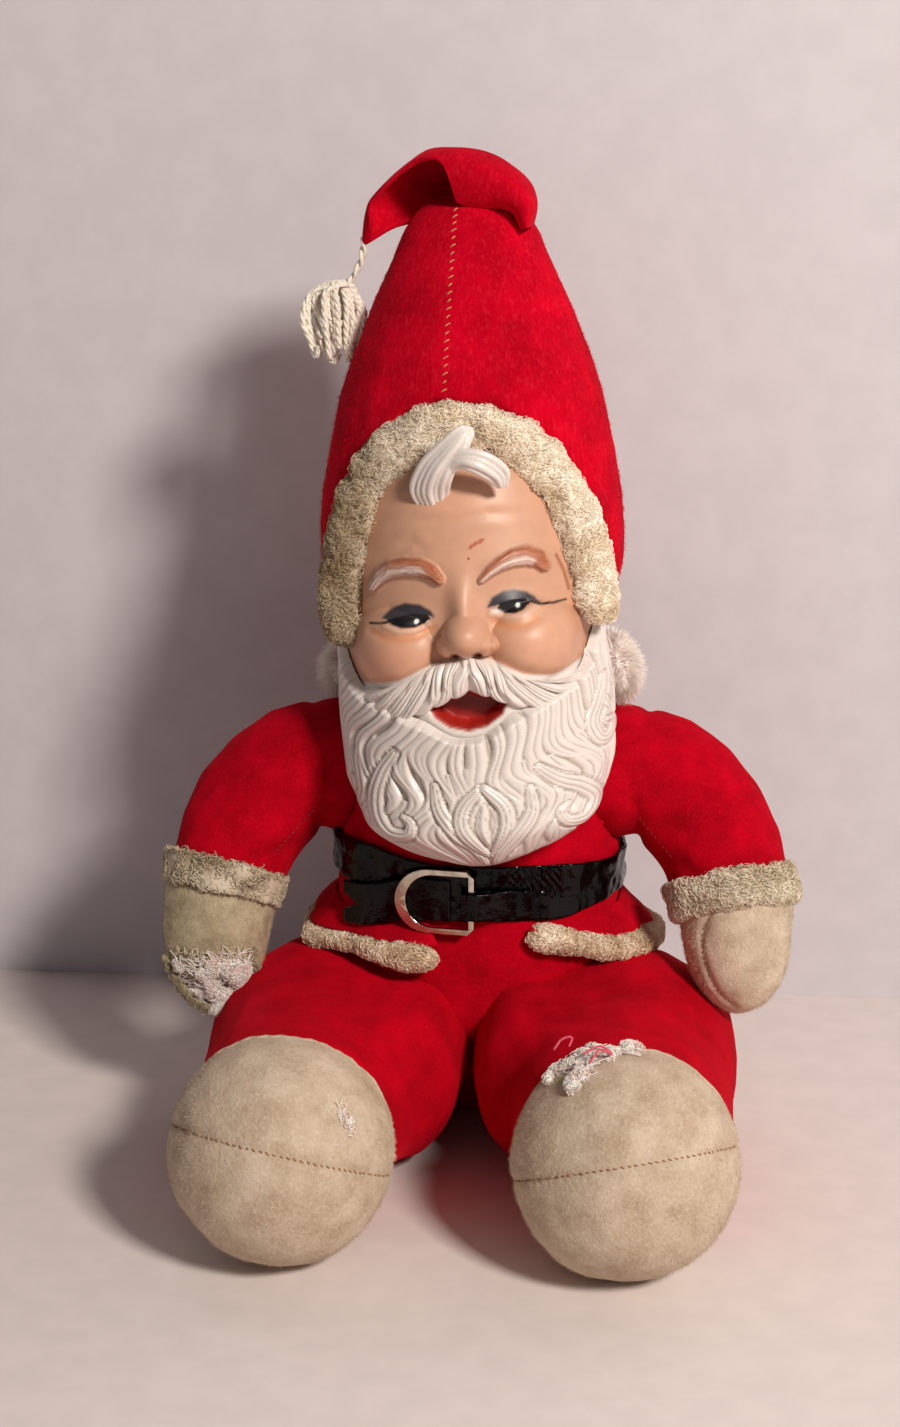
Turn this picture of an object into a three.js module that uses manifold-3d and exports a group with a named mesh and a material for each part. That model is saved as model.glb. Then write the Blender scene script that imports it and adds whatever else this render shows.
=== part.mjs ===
// A stuffed santa doll, sitting on the floor with its legs out in front.
// Red plush body, arms, legs and stuffed hat, a moulded vinyl face with its beard, fleece trims, mittens and
// feet, a black vinyl belt with a metal buckle, and a yarn tassel on the folded tip of the hat.
// Millimetres. +Z is up, -Y is the doll's front and +X its left. The origin is the middle of the flat seat.

import * as THREE from "three";
import { mergeVertices } from "three/addons/utils/BufferGeometryUtils.js";
import Module from "manifold-3d";

const wasm = await Module();
wasm.setup();

// Clearances
const seamGap = 0.4; // between two pieces that are sewn or lie together
const socketGap = 0.8; // round a sewn joint that swings
const sweepGap = 2.8; // round a thigh's coarse path through the trunk
const restDepth = 0.5; // how deep a stuffed form is pressed flat where it rests

// Torso
const hipHeight = 50;
const waistHeight = 120;
const chestHeight = 158;
const shoulderHeight = 186;
const neckHeight = 204;
const hipHalfWidth = 70;
const waistHalfWidth = 64;
const chestHalfWidth = 66;
const neckHalfWidth = 42;
const hipHalfDepth = 52;
const waistHalfDepth = 46;
const chestHalfDepth = 45;
const neckHalfDepth = 36;
const torsoSetBack = 6; // the trunk's middle lies this far behind the origin
const seatDepth = 5; // how deep the trunk's round bottom is pressed flat where it sits

// Legs and feet
const hipSpacing = 64; // from the middle to each hip
const hipForward = 16;
const thighHalfWidth = 51;
const thighRadius = 42;
const legLength = 112; // hip to the foot seam
const footRadius = 45;
const footSeamBehindMiddle = 14;
const legSplay = 4.5; // how far each foot stands outside its hip
const footPitch = 25; // degrees, toe up
const footRoll = 11; // degrees, outer side up
const hipSwing = 45; // degrees

// Arms and mittens
const shoulderRadius = 30;
const shoulderReach = 26; // half length of the round shoulder along its axis
const shoulderInset = 4; // the shoulder's middle lies this far inside the chest's side
const armholeHeight = 164;
const armRadius = 27;
const wristRadius = 24;
const mittenRadius = 23;
const armOutward = 55; // mitten's middle outside the shoulder's middle
const armForward = 36;
const armDrop = 100;
const armClear = 74; // past the round shoulder, an arm stays this far from the doll's middle
const cuffLength = 27;
const cuffThickness = 4.5;

// Head, hat and face
const headHalfWidth = 57;
const headHalfDepth = 54;
const headHeight = 118;
const headTurn = 10; // degrees each way
const hatRim = 240; // height of the hat's lower edge
const hatHalfWidth = 66;
const hatHalfDepth = 59;
const hatTop = 416;
const hatShift = -4; // the hat stands a little to the doll's right
const hatTipHalfWidth = 21;
const hatTipThickness = 2.6;
const tipReach = 66; // across the folded tip of the hat
const tipLift = 60; // degrees that the folded tip lifts
const faceHeight = 240;
const faceForward = 10;
const faceRoll = 5.5; // degrees, crown towards the doll's right
const facePitch = 4; // degrees, looking up
const faceHalfWidth = 58;
const faceDepth = 56;
const foreheadHeight = 80; // above the middle of the face
const beardDrop = 106; // below the middle of the face
const beardHalfWidth = 61;
const maskWall = 3;
const maskBackY = -10; // the mask's rear edge, behind the middle of the face
const trimRadius = 12; // half width of the fleece round the face
const trimThickness = 9;
const trimInset = 7; // the fleece's middle lies this far inside the mask's sides

// Clothes
const beltWidth = 25;
const beltThickness = 1.8;
const buckleWidth = 35;
const buckleHeight = 29;
const buckleThickness = 2;
const buckleBand = 4.6;
const buckleBar = 2.4;
const buckleX = -15;
const skirtFlare = 13;
const skirtDrop = 14;
const clothThickness = 1.6;
const hemHeight = 13;
const hemThickness = 9;
const collarRadius = 10;
const collarHalfWidth = 59;
const collarHalfDepth = 50;

// Tassel
const tasselLength = 38;
const tasselRadius = 10;
const yarnDiameter = 2.6;
const tasselDrop = 16; // hat tip to the top of the tassel
const tasselOutward = 13;

// Materials
const plush = new THREE.MeshStandardMaterial({ color: 0xb4121d, roughness: 0.95, metalness: 0 });
const footPlush = new THREE.MeshStandardMaterial({ color: 0xb5a78e, roughness: 0.95, metalness: 0 });
const fleece = new THREE.MeshStandardMaterial({ color: 0xcfc3a6, roughness: 1, metalness: 0 });
const whiteFur = new THREE.MeshStandardMaterial({ color: 0xe6e0d8, roughness: 1, metalness: 0 });
const vinylFace = new THREE.MeshStandardMaterial({ color: 0xe6d5cd, roughness: 0.45, metalness: 0 });
const blackVinyl = new THREE.MeshStandardMaterial({ color: 0x0b0b0c, roughness: 0.35, metalness: 0 });
const nickel = new THREE.MeshStandardMaterial({ color: 0xb9b2a2, roughness: 0.3, metalness: 1 });
const yarn = new THREE.MeshStandardMaterial({ color: 0xddd3c4, roughness: 0.95, metalness: 0 });

const vector = (x, y, z) => new THREE.Vector3(x, y, z);
const radians = THREE.MathUtils.degToRad;

// A closed geometry as a solid for cutting and joining.
function solidOf(geometry) {
  const bare = geometry.clone();
  bare.deleteAttribute("normal");
  bare.deleteAttribute("uv");
  const merged = mergeVertices(bare, 1e-4);
  return new wasm.Manifold(
    new wasm.Mesh({
      numProp: 3,
      vertProperties: new Float32Array(merged.attributes.position.array),
      triVerts: new Uint32Array(merged.index.array),
    }),
  );
}

// A solid as a geometry that a mesh can show.
function geometryOf(solid) {
  const { vertProperties, triVerts, numProp } = solid.getMesh();
  const position = new Float32Array((vertProperties.length / numProp) * 3);
  for (let i = 0; i < position.length / 3; i += 1) {
    position.set(vertProperties.subarray(i * numProp, i * numProp + 3), i * 3);
  }
  const geometry = new THREE.BufferGeometry();
  geometry.setAttribute("position", new THREE.BufferAttribute(position, 3));
  geometry.setIndex(new THREE.BufferAttribute(new Uint32Array(triVerts), 1));
  geometry.computeVertexNormals();
  return geometry;
}

// The largest body of a solid, without scraps that a cut leaves beside it.
const mainBody = (solid) => solid.decompose().reduce((most, one) => (one.volume() > most.volume() ? one : most));
const moved = (solid, matrix) => solid.transform(matrix.elements);
const joined = (solids) => solids.reduce((all, one) => all.add(one));

// A solid turned about an axis through a point, by an angle in degrees.
function turned(solid, pivot, axis, degrees) {
  const matrix = new THREE.Matrix4()
    .makeTranslation(pivot.x, pivot.y, pivot.z)
    .multiply(new THREE.Matrix4().makeRotationAxis(axis, radians(degrees)))
    .multiply(new THREE.Matrix4().makeTranslation(-pivot.x, -pivot.y, -pivot.z));
  return moved(solid, matrix);
}

// Everything that a solid passes through as it turns.
function swept(solid, pivot, axis, from, to, steps) {
  const copies = [];
  for (let i = 0; i <= steps; i += 1) {
    copies.push(turned(solid, pivot, axis, from + ((to - from) * i) / steps));
  }
  return joined(copies);
}

// A box between two corners.
function block(low, high) {
  const size = high.clone().sub(low);
  const middle = low.clone().add(high).multiplyScalar(0.5);
  return solidOf(new THREE.BoxGeometry(size.x, size.y, size.z).translate(middle.x, middle.y, middle.z));
}

// A round body of three half sizes, its poles along X so that it turns truly about that axis.
function ballAboutX(centre, halfLength, radius, segments = 20, rings = 8) {
  const geometry = new THREE.SphereGeometry(1, segments, rings)
    .rotateZ(Math.PI / 2)
    .scale(halfLength, radius, radius)
    .translate(centre.x, centre.y, centre.z);
  return solidOf(geometry);
}

function ball(centre, x, y, z, segments = 12, rings = 8) {
  return solidOf(
    new THREE.SphereGeometry(1, segments, rings).scale(x, y, z).translate(centre.x, centre.y, centre.z),
  );
}

// How full a form is at a distance from its end: 0 at the tip, 1 past the rounded length.
function fullness(distance, cap, power) {
  if (cap <= 0 || distance >= cap) return 1;
  return (1 - (1 - Math.max(0, distance) / cap) ** power) ** (1 / power);
}

// The middle, direction and half sizes of a stuffed form at a share of its length.
// Sections lie square to the spine, or level where form.level is set.
function formReader(form, grow = 0) {
  const spine = new THREE.CatmullRomCurve3(form.stations.map((s) => vector(s.x ?? 0, s.y ?? 0, s.z ?? 0)));
  const girth = new THREE.CatmullRomCurve3(form.stations.map((s) => vector(s.wide, s.deep, 0)));
  const length = spine.getLength();
  return (share) => {
    const run = -grow + share * (length + 2 * grow);
    const u = Math.min(1, Math.max(0, run / length));
    const t = spine.getUtoTmapping(u);
    const tangent = spine.getTangent(t);
    const middle = spine.getPoint(t).addScaledVector(tangent, run - u * length);
    const size = girth.getPoint(t);
    const start = fullness(run + grow, (form.startCap ?? 0) && form.startCap + grow, form.startPower ?? 2);
    const end = fullness(length + grow - run, (form.endCap ?? 0) && form.endCap + grow, form.endPower ?? 2);
    return {
      middle,
      tangent: form.level ? vector(0, 0, Math.sign(tangent.z)) : tangent,
      wide: (size.x + grow) * start * end,
      deep: (size.y + grow) * start * end,
    };
  };
}

// A stuffed form: ovals along a spine that swell and taper, with rounded ends.
function stuffed(form, grow = 0) {
  const { rings = 16, sides = 24, across = vector(1, 0, 0), power = 2 } = form;
  const read = formReader(form, grow);
  const position = [];
  const index = [];
  const push = (p) => position.push(p.x, p.y, p.z);
  for (let k = 0; k <= rings; k += 1) {
    const even = k / rings;
    const bunched = (1 - Math.cos(Math.PI * even)) / 2;
    const { middle, tangent, wide, deep } = read(0.35 * even + 0.65 * bunched);
    const u = across.clone().addScaledVector(tangent, -across.dot(tangent)).normalize();
    const v = tangent.clone().cross(u);
    for (let j = 0; j < sides; j += 1) {
      const angle = (2 * Math.PI * j) / sides;
      const c = Math.cos(angle);
      const s = Math.sin(angle);
      const bulge = (Math.abs(c) ** power + Math.abs(s) ** power) ** (-1 / power);
      const wave = form.wave ? form.wave(angle, even) : 0;
      push(
        middle
          .clone()
          .addScaledVector(u, (wide + wave) * c * bulge)
          .addScaledVector(v, (deep + wave) * s * bulge),
      );
    }
  }
  const startPole = position.length / 3;
  push(read(0).middle);
  push(read(1).middle);
  for (let j = 0; j < sides; j += 1) {
    const next = (j + 1) % sides;
    for (let k = 0; k < rings; k += 1) {
      const low = k * sides;
      const high = low + sides;
      index.push(low + j, low + next, high + next, low + j, high + next, high + j);
    }
    const last = rings * sides;
    index.push(startPole, next, j, startPole + 1, last + j, last + next);
  }
  const geometry = new THREE.BufferGeometry();
  geometry.setAttribute("position", new THREE.Float32BufferAttribute(position, 3));
  geometry.setIndex(index);
  return solidOf(geometry);
}

// The front face of a level form at a place across and up: its Y.
function frontOf(form, x, z, grow = 0) {
  const read = formReader(form, grow);
  let low = 0;
  let high = 1;
  const falling = form.stations[0].z > form.stations.at(-1).z;
  for (let i = 0; i < 24; i += 1) {
    const mid = (low + high) / 2;
    if (read(mid).middle.z > z === falling) low = mid;
    else high = mid;
  }
  const { middle, wide, deep } = read((low + high) / 2);
  const power = form.power ?? 2;
  const across = Math.min(1, Math.abs(x - middle.x) / Math.max(wide, 1e-3));
  return middle.y - deep * (1 - across ** power) ** (1 / power);
}

// A closed skin over a row of outlines that have the same count of points
function lofted(sections) {
  const count = sections[0].length;
  const position = sections.flat().flatMap((p) => [p.x, p.y, p.z]);
  const index = [];
  for (let k = 0; k < sections.length - 1; k += 1) {
    for (let j = 0; j < count; j += 1) {
      const a = k * count + j;
      const b = k * count + ((j + 1) % count);
      index.push(a, b, b + count, a, b + count, a + count);
    }
  }
  const last = (sections.length - 1) * count;
  for (let j = 1; j < count - 1; j += 1) {
    index.push(0, j + 1, j, last, last + j, last + j + 1);
  }
  const geometry = new THREE.BufferGeometry();
  geometry.setAttribute("position", new THREE.Float32BufferAttribute(position, 3));
  geometry.setIndex(index);
  const solid = solidOf(geometry);
  return solid.volume() < 0 ? solidOf(flipped(geometry)) : solid;
}

// A strap stood on edge: its middle line in plan, its thickness, and the heights of its two edges
function strap(line, thickness, low, high) {
  const edge = (offset) =>
    line.map((p, i) => {
      const before = line[Math.max(0, i - 1)];
      const after = line[Math.min(line.length - 1, i + 1)];
      const along = after.clone().sub(before).normalize();
      return new THREE.Vector2(p.x - along.y * offset, p.y + along.x * offset);
    });
  const outline = new THREE.Shape([...edge(thickness / 2), ...edge(-thickness / 2).reverse()]);
  return solidOf(
    new THREE.ExtrudeGeometry(outline, { depth: high - low, bevelEnabled: false }).translate(0, 0, low),
  );
}

function flipped(geometry) {
  const faces = Array.from(geometry.index.array);
  for (let i = 0; i < faces.length; i += 3) [faces[i + 1], faces[i + 2]] = [faces[i + 2], faces[i + 1]];
  return geometry.clone().setIndex(faces);
}

const farAway = 600;
const belowFloor = block(vector(-farAway, -farAway, -farAway), vector(farAway, farAway, 0));
const axisZ = vector(0, 0, 1);

const beltLow = waistHeight - beltWidth / 2;
const beltHigh = waistHeight + beltWidth / 2;

// The forms of the trunk, head and hat, each read by the pieces that fit them
const torsoForm = {
  level: true,
  rings: 14,
  sides: 24,
  power: 2.3,
  startCap: 34,
  startPower: 4,
  endCap: 30,
  stations: [
    { y: torsoSetBack + 3, z: -seatDepth, wide: hipHalfWidth - 2, deep: hipHalfDepth - 2 },
    { y: torsoSetBack + 3, z: hipHeight, wide: hipHalfWidth, deep: hipHalfDepth },
    { y: torsoSetBack, z: (hipHeight + beltLow) / 2, wide: hipHalfWidth - 1, deep: hipHalfDepth - 2 },
    { y: torsoSetBack - 3, z: beltLow - 2, wide: waistHalfWidth, deep: waistHalfDepth },
    { y: torsoSetBack - 3, z: beltHigh + 2, wide: waistHalfWidth, deep: waistHalfDepth },
    { y: torsoSetBack - 3, z: chestHeight, wide: chestHalfWidth, deep: chestHalfDepth },
    { y: torsoSetBack - 1, z: shoulderHeight, wide: chestHalfWidth - 3, deep: chestHalfDepth - 2 },
    { y: torsoSetBack, z: neckHeight + 12, wide: neckHalfWidth + 12, deep: neckHalfDepth + 4 },
  ],
};
const headForm = {
  level: true,
  rings: 8,
  sides: 18,
  startCap: headHeight * 0.42,
  endCap: headHeight * 0.5,
  stations: [
    { y: torsoSetBack, z: neckHeight - 12, wide: headHalfWidth * 0.94, deep: headHalfDepth * 0.94 },
    { y: torsoSetBack, z: neckHeight - 12 + headHeight / 2, wide: headHalfWidth, deep: headHalfDepth },
    { y: torsoSetBack, z: neckHeight - 12 + headHeight, wide: headHalfWidth * 0.9, deep: headHalfDepth * 0.9 },
  ],
};
const hatSpan = hatTop - hatRim;
const hatForm = {
  level: true,
  rings: 12,
  sides: 24,
  startCap: 9,
  endCap: 16,
  stations: [
    { x: hatShift, y: torsoSetBack, z: hatRim, wide: hatHalfWidth - 1, deep: hatHalfDepth },
    { x: hatShift, y: torsoSetBack, z: hatRim + hatSpan * 0.2, wide: hatHalfWidth, deep: hatHalfDepth + 1 },
    { x: hatShift, y: torsoSetBack, z: hatRim + hatSpan * 0.44, wide: hatHalfWidth * 0.9, deep: hatHalfDepth * 0.9 },
    { x: hatShift, y: torsoSetBack, z: hatRim + hatSpan * 0.68, wide: hatHalfWidth * 0.7, deep: hatHalfDepth * 0.68 },
    { x: hatShift, y: torsoSetBack, z: hatRim + hatSpan * 0.87, wide: hatHalfWidth * 0.46, deep: hatHalfDepth * 0.42 },
    { x: hatShift, y: torsoSetBack, z: hatTop, wide: hatHalfWidth * 0.34, deep: hatHalfDepth * 0.24 },
  ],
};
// The mask's outer skin without its features, in the face's own frame, from the forehead down to the beard's tip
const maskForm = {
  level: true,
  rings: 14,
  sides: 22,
  startCap: 26,
  endCap: 22,
  endPower: 1.8,
  stations: [
    { y: 6, z: foreheadHeight, wide: faceHalfWidth * 0.78, deep: faceDepth * 0.9 },
    { y: 2, z: foreheadHeight * 0.7, wide: faceHalfWidth * 0.85, deep: faceDepth * 0.94 },
    { y: 0, z: foreheadHeight * 0.3, wide: faceHalfWidth * 0.96, deep: faceDepth },
    { y: 0, z: -foreheadHeight * 0.15, wide: faceHalfWidth, deep: faceDepth },
    { y: 0, z: -beardDrop * 0.4, wide: beardHalfWidth, deep: faceDepth },
    { y: -8, z: -beardDrop * 0.62, wide: beardHalfWidth - 1, deep: faceDepth - 8 },
    { y: -24, z: -beardDrop * 0.84, wide: beardHalfWidth * 0.82, deep: faceDepth * 0.62 },
    { y: -40, z: -beardDrop, wide: beardHalfWidth * 0.6, deep: faceDepth * 0.32 },
  ],
};

// Groups: every piece hangs in the group that moves it
const doll = new THREE.Group();
const trunk = new THREE.Group();
const head = new THREE.Group();
const face = new THREE.Group();
const foldedTip = new THREE.Group();
const tasselGroup = new THREE.Group();
doll.add(trunk, head);
head.position.set(0, torsoSetBack, neckHeight);
head.add(face, foldedTip);
face.position.set(-1, -torsoSetBack - faceForward, faceHeight - neckHeight);
face.rotation.set(radians(-facePitch), radians(-faceRoll), 0);
foldedTip.add(tasselGroup);

function addPiece(group, name, solid, material) {
  doll.updateMatrixWorld(true);
  const local = moved(mainBody(solid), group.matrixWorld.clone().invert());
  const mesh = new THREE.Mesh(geometryOf(local), material);
  mesh.name = name;
  group.add(mesh);
}

doll.updateMatrixWorld(true);
const faceMatrix = face.matrixWorld.clone();
const headPivot = vector(0, torsoSetBack, neckHeight);
const footHeight = footRadius - restDepth;
const hipZ = thighRadius - restDepth;

// One leg: a round hip end that turns in the trunk, a plump thigh, and a foot sewn from an upper and a sole
function legForm(side) {
  const x = side * hipSpacing;
  const footX = side * (hipSpacing + legSplay);
  const reach = hipForward + legLength + 4;
  return {
    sides: 20,
    rings: 5,
    stations: [
      { x, y: -hipForward, z: hipZ, wide: thighHalfWidth, deep: thighRadius },
      { x: (x * 2 + footX) / 3, y: -hipForward - legLength * 0.36, z: hipZ, wide: thighHalfWidth - 1, deep: thighRadius },
      { x: (x + footX * 2) / 3, y: -hipForward - legLength * 0.72, z: hipZ + 0.5, wide: thighHalfWidth - 5, deep: thighRadius },
      { x: footX, y: -reach, z: footHeight, wide: footRadius - 3.2, deep: footRadius - 3.5 },
    ],
  };
}

function legSolids(side) {
  const hip = vector(side * hipSpacing, -hipForward, hipZ);
  const seamY = -hipForward - legLength;
  const footMiddle = vector(
    side * (hipSpacing + legSplay),
    seamY - footSeamBehindMiddle,
    footHeight,
  );
  const leg = ballAboutX(hip, thighHalfWidth, thighRadius)
    .add(stuffed(legForm(side)))
    .subtract(block(vector(-farAway, -farAway, -farAway), vector(farAway, seamY, farAway)))
    .subtract(belowFloor);
  const foot = ball(footMiddle, footRadius, footRadius, footRadius, 20, 14)
    .subtract(block(vector(-farAway, seamY - seamGap, -farAway), vector(farAway, farAway, farAway)))
    .subtract(belowFloor);
  const turn = new THREE.Matrix4()
    .makeTranslation(footMiddle.x, footMiddle.y, footMiddle.z)
    .multiply(
      new THREE.Matrix4().makeRotationFromEuler(new THREE.Euler(radians(-footPitch), radians(-side * footRoll), 0, "YXZ")),
    );
  const above = moved(block(vector(-farAway, -farAway, seamGap / 2), vector(farAway, farAway, farAway)), turn);
  const below = moved(block(vector(-farAway, -farAway, -farAway), vector(farAway, farAway, -seamGap / 2)), turn);
  return { hip, leg, upper: foot.intersect(above), sole: foot.intersect(below) };
}

// What a leg passes near the trunk as it hangs down from its seat: a fan in each slice across the thigh
function legSweep(side) {
  const hip = vector(side * hipSpacing, -hipForward, hipZ);
  const slices = 10;
  const low = radians(-90 + hipSwing);
  const sections = [];
  for (let i = 0; i <= slices; i += 1) {
    const across = -Math.cos((Math.PI * i) / slices);
    const high = Math.max(1, (thighRadius + sweepGap) * Math.sqrt(1 - across ** 2));
    const x = hip.x + (thighHalfWidth + sweepGap) * across;
    const fan = [[-legLength, high], [0, high]];
    for (const share of [0.25, 0.5, 0.75, 1]) {
      const angle = Math.PI / 2 + (low - Math.PI / 2) * share;
      fan.push([high * Math.cos(angle), high * Math.sin(angle)]);
    }
    const [y, z] = fan.at(-1);
    fan.push([y + legLength * Math.sin(low), z - legLength * Math.cos(low)]);
    sections.push(fan.map(([forward, up]) => vector(x, hip.y + forward, hip.z + up)));
  }
  return lofted(sections);
}

// One arm: a round shoulder end that turns in the trunk, then a sleeve that bends down to the wrist
const shoulderAt = (side) => vector(side * (chestHalfWidth - shoulderInset), torsoSetBack - 3, armholeHeight);

function armForm(side) {
  const s = shoulderAt(side);
  const along = [
    [0.12, 0, 0, shoulderRadius - 1],
    [0.44, 0.06, 0.06, shoulderRadius - 1],
    [0.77, 0.28, 0.25, armRadius + 1],
    [0.92, 0.52, 0.46, wristRadius + 1],
    [0.99, 0.8, 0.7, mittenRadius],
    [1, 1, 1, mittenRadius - 6],
  ];
  return {
    sides: 16,
    rings: 11,
    across: vector(0, 1, 0),
    endCap: mittenRadius,
    stations: along.map(([out, forward, down, radius]) => ({
      x: s.x + side * armOutward * out,
      y: s.y - armForward * forward,
      z: s.z - armDrop * down,
      wide: radius - 1,
      deep: radius,
    })),
  };
}

// A half space beyond a section of a form, with the side that is kept given by its sign
function beyond(form, share, sign) {
  const { middle, tangent } = formReader(form)(share);
  const matrix = new THREE.Matrix4().compose(
    middle.clone().addScaledVector(tangent, (sign * seamGap) / 2),
    new THREE.Quaternion().setFromUnitVectors(axisZ, tangent.clone().multiplyScalar(sign)),
    vector(1, 1, 1),
  );
  return moved(block(vector(-farAway, -farAway, 0), vector(farAway, farAway, farAway)), matrix);
}

const wristShare = 0.585;

function armSolids(side) {
  const s = shoulderAt(side);
  const form = armForm(side);
  const inner = side > 0
    ? block(vector(-farAway, -farAway, -farAway), vector(armClear, farAway, farAway))
    : block(vector(-armClear, -farAway, -farAway), vector(farAway, farAway, farAway));
  const arm = stuffed(form).subtract(inner);
  const shoulder = ballAboutX(s, shoulderReach, shoulderRadius);
  const read = formReader(form);
  const half = cuffLength / 2;
  const wrist = read(wristShare);
  const place = (offset) => wrist.middle.clone().addScaledVector(wrist.tangent, offset);
  const cuffStation = (offset, extra) => {
    const p = place(offset);
    return { x: p.x, y: p.y, z: p.z, wide: wrist.wide + extra, deep: wrist.deep + extra };
  };
  const cuffRing = stuffed({
    sides: 16,
    rings: 4,
    across: vector(0, 1, 0),
    startCap: 5,
    endCap: 5,
    stations: [
      cuffStation(-half, cuffThickness + 1),
      cuffStation(0, cuffThickness),
      cuffStation(half, cuffThickness - 0.5),
    ],
  });
  return {
    s,
    sleeve: shoulder.add(arm).intersect(beyond(form, wristShare, -1)),
    mitten: arm.intersect(beyond(form, wristShare, 1)),
    cuff: cuffRing.subtract(stuffed(form, seamGap)).subtract(inner),
  };
}

const sides = { left: 1, right: -1 };
const legs = { left: legSolids(sides.left), right: legSolids(sides.right) };
const arms = { left: armSolids(sides.left), right: armSolids(sides.right) };
const bothSweeps = legSweep(sides.left).add(legSweep(sides.right));

// Trunk, with its leg and arm sockets, cut level at the neck seam
const neckCut = block(vector(-farAway, -farAway, neckHeight), vector(farAway, farAway, farAway));
const sockets = joined(
  Object.values(arms).map(({ s }) => ballAboutX(s, shoulderReach + socketGap * 1.5, shoulderRadius + socketGap * 1.5, 16, 8)),
);
const torso = stuffed(torsoForm)
  .subtract(belowFloor)
  .subtract(neckCut)
  .subtract(bothSweeps)
  .subtract(sockets);
addPiece(trunk, "torso", torso, plush);

// Belt: a band that follows the waist, its tongue through the buckle, and the buckle
const waistSlab = block(vector(-farAway, -farAway, beltLow), vector(farAway, farAway, beltHigh));
const beltOuter = seamGap + beltThickness;
const beltBand = stuffed(torsoForm, beltOuter)
  .subtract(stuffed(torsoForm, seamGap))
  .intersect(waistSlab);
addPiece(trunk, "belt_band", beltBand, blackVinyl);

// Places on the front of the belt: across, and how far out from its face
function onBelt(x, out) {
  const heights = [beltLow, waistHeight, beltHigh];
  const front = (at) => Math.min(...heights.map((z) => frontOf(torsoForm, at, z, beltOuter)));
  const slope = front(x + 0.5) - front(x - 0.5);
  const outward = new THREE.Vector2(slope, -1).normalize();
  return new THREE.Vector2(x, front(x)).addScaledVector(outward, out);
}

const buckleZ = waistHeight - 3;
const strapScale = buckleWidth / 35;
const tongueThickness = beltThickness * 0.75;
const buckleLift = tongueThickness + seamGap * 5; // the buckle's back, out from the belt
const buckleLeft = buckleX - buckleWidth / 2;
const buckleRight = buckleX + buckleWidth / 2;

// Buckle: a flat frame, round on one side, with a thin straight bar on the other
function buckleSolid() {
  const w = buckleWidth / 2;
  const h = buckleHeight / 2;
  const outline = new THREE.Shape()
    .moveTo(-w + h, h)
    .absarc(-w + h, 0, h, Math.PI / 2, (3 * Math.PI) / 2, false)
    .lineTo(w - 3, -h)
    .lineTo(w, -h + 3)
    .lineTo(w, h - 3)
    .lineTo(w - 3, h)
    .closePath();
  const hole = new THREE.Path()
    .moveTo(-w + h + buckleBand - buckleBar, h - buckleBar)
    .absarc(-w + h + buckleBand - buckleBar, 0, h - buckleBar, Math.PI / 2, (3 * Math.PI) / 2, false)
    .lineTo(w - buckleBar, -h + buckleBar)
    .lineTo(w - buckleBar, h - buckleBar)
    .closePath();
  outline.holes.push(hole);
  const plate = new THREE.ExtrudeGeometry(outline, { depth: buckleThickness, bevelEnabled: false, curveSegments: 10 });
  const from = onBelt(buckleLeft, buckleLift);
  const to = onBelt(buckleRight, buckleLift);
  const middle = from.clone().add(to).multiplyScalar(0.5);
  return solidOf(
    plate
      .rotateX(Math.PI / 2)
      .rotateZ(Math.atan2(to.y - from.y, to.x - from.x))
      .translate(middle.x, middle.y, buckleZ),
  );
}

// Tongue: it lies on the belt, runs behind the buckle's round side and ends in a fishtail
function tongueSolid() {
  const out = seamGap + tongueThickness / 2;
  const line = [-24, -20, -16, -11, -6, 0, 6, 12, 18, 24].map((along) => onBelt(buckleLeft + along * strapScale, out));
  const notch = new THREE.Shape().moveTo(-9 * strapScale, 9 * strapScale).lineTo(7 * strapScale, 0)
    .lineTo(-9 * strapScale, -9 * strapScale).closePath();
  const fishtail = new THREE.ExtrudeGeometry(notch, { depth: farAway, bevelEnabled: false })
    .rotateX(Math.PI / 2)
    .translate(buckleLeft - 25 * strapScale, 0, buckleZ);
  const halfHeight = beltWidth * 0.38;
  return strap(line, tongueThickness, buckleZ - halfHeight, buckleZ + halfHeight).subtract(solidOf(fishtail));
}

// Tab: a narrow end of the belt, folded round the buckle's bar, its cut end lying on the belt
function tabSolid() {
  const rear = seamGap + tongueThickness / 2;
  const front = buckleLift + buckleThickness + seamGap * 2 + tongueThickness / 2;
  const line = [
    [24, rear],
    [13, rear + 0.2],
    [5, (rear + front) / 2 + 0.8],
    [0.5, front],
    [-3.5, front - 0.2],
    [-6, (rear + front) / 2 + 0.6],
    [-6.2, (rear + front) / 2 - 0.9],
    [-4.5, rear + 0.1],
    [1, rear],
    [6, rear],
  ].map(([along, out]) => onBelt(buckleRight + along * strapScale, out));
  return strap(line, tongueThickness * 0.85, buckleZ - beltWidth * 0.28, buckleZ + beltWidth * 0.2);
}

addPiece(trunk, "belt_buckle", buckleSolid(), nickel);
addPiece(trunk, "belt_tongue", tongueSolid(), blackVinyl);
addPiece(trunk, "belt_tab", tabSolid(), blackVinyl);

// Jacket skirt: two cloth panels below the belt, open at the front, with a fleece hem along each
function skirtLevel(share) {
  const z = beltLow - seamGap - skirtDrop * share;
  const read = formReader(torsoForm, seamGap + beltThickness * 0.5);
  const top = read((beltLow + seatDepth) / (neckHeight + 12 + seatDepth));
  const flare = skirtFlare * share ** 0.8;
  return { z, y: top.middle.y, wide: top.wide + flare, deep: top.deep + flare * 0.55 };
}

function skirtPoint(angle, share, inset) {
  const { z, y, wide, deep } = skirtLevel(share);
  const fold = share * 2.2 * Math.sin(angle * 9);
  return vector(
    (wide + fold - inset) * Math.sin(angle),
    y - (deep + fold - inset) * Math.cos(angle),
    z,
  );
}

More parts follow.
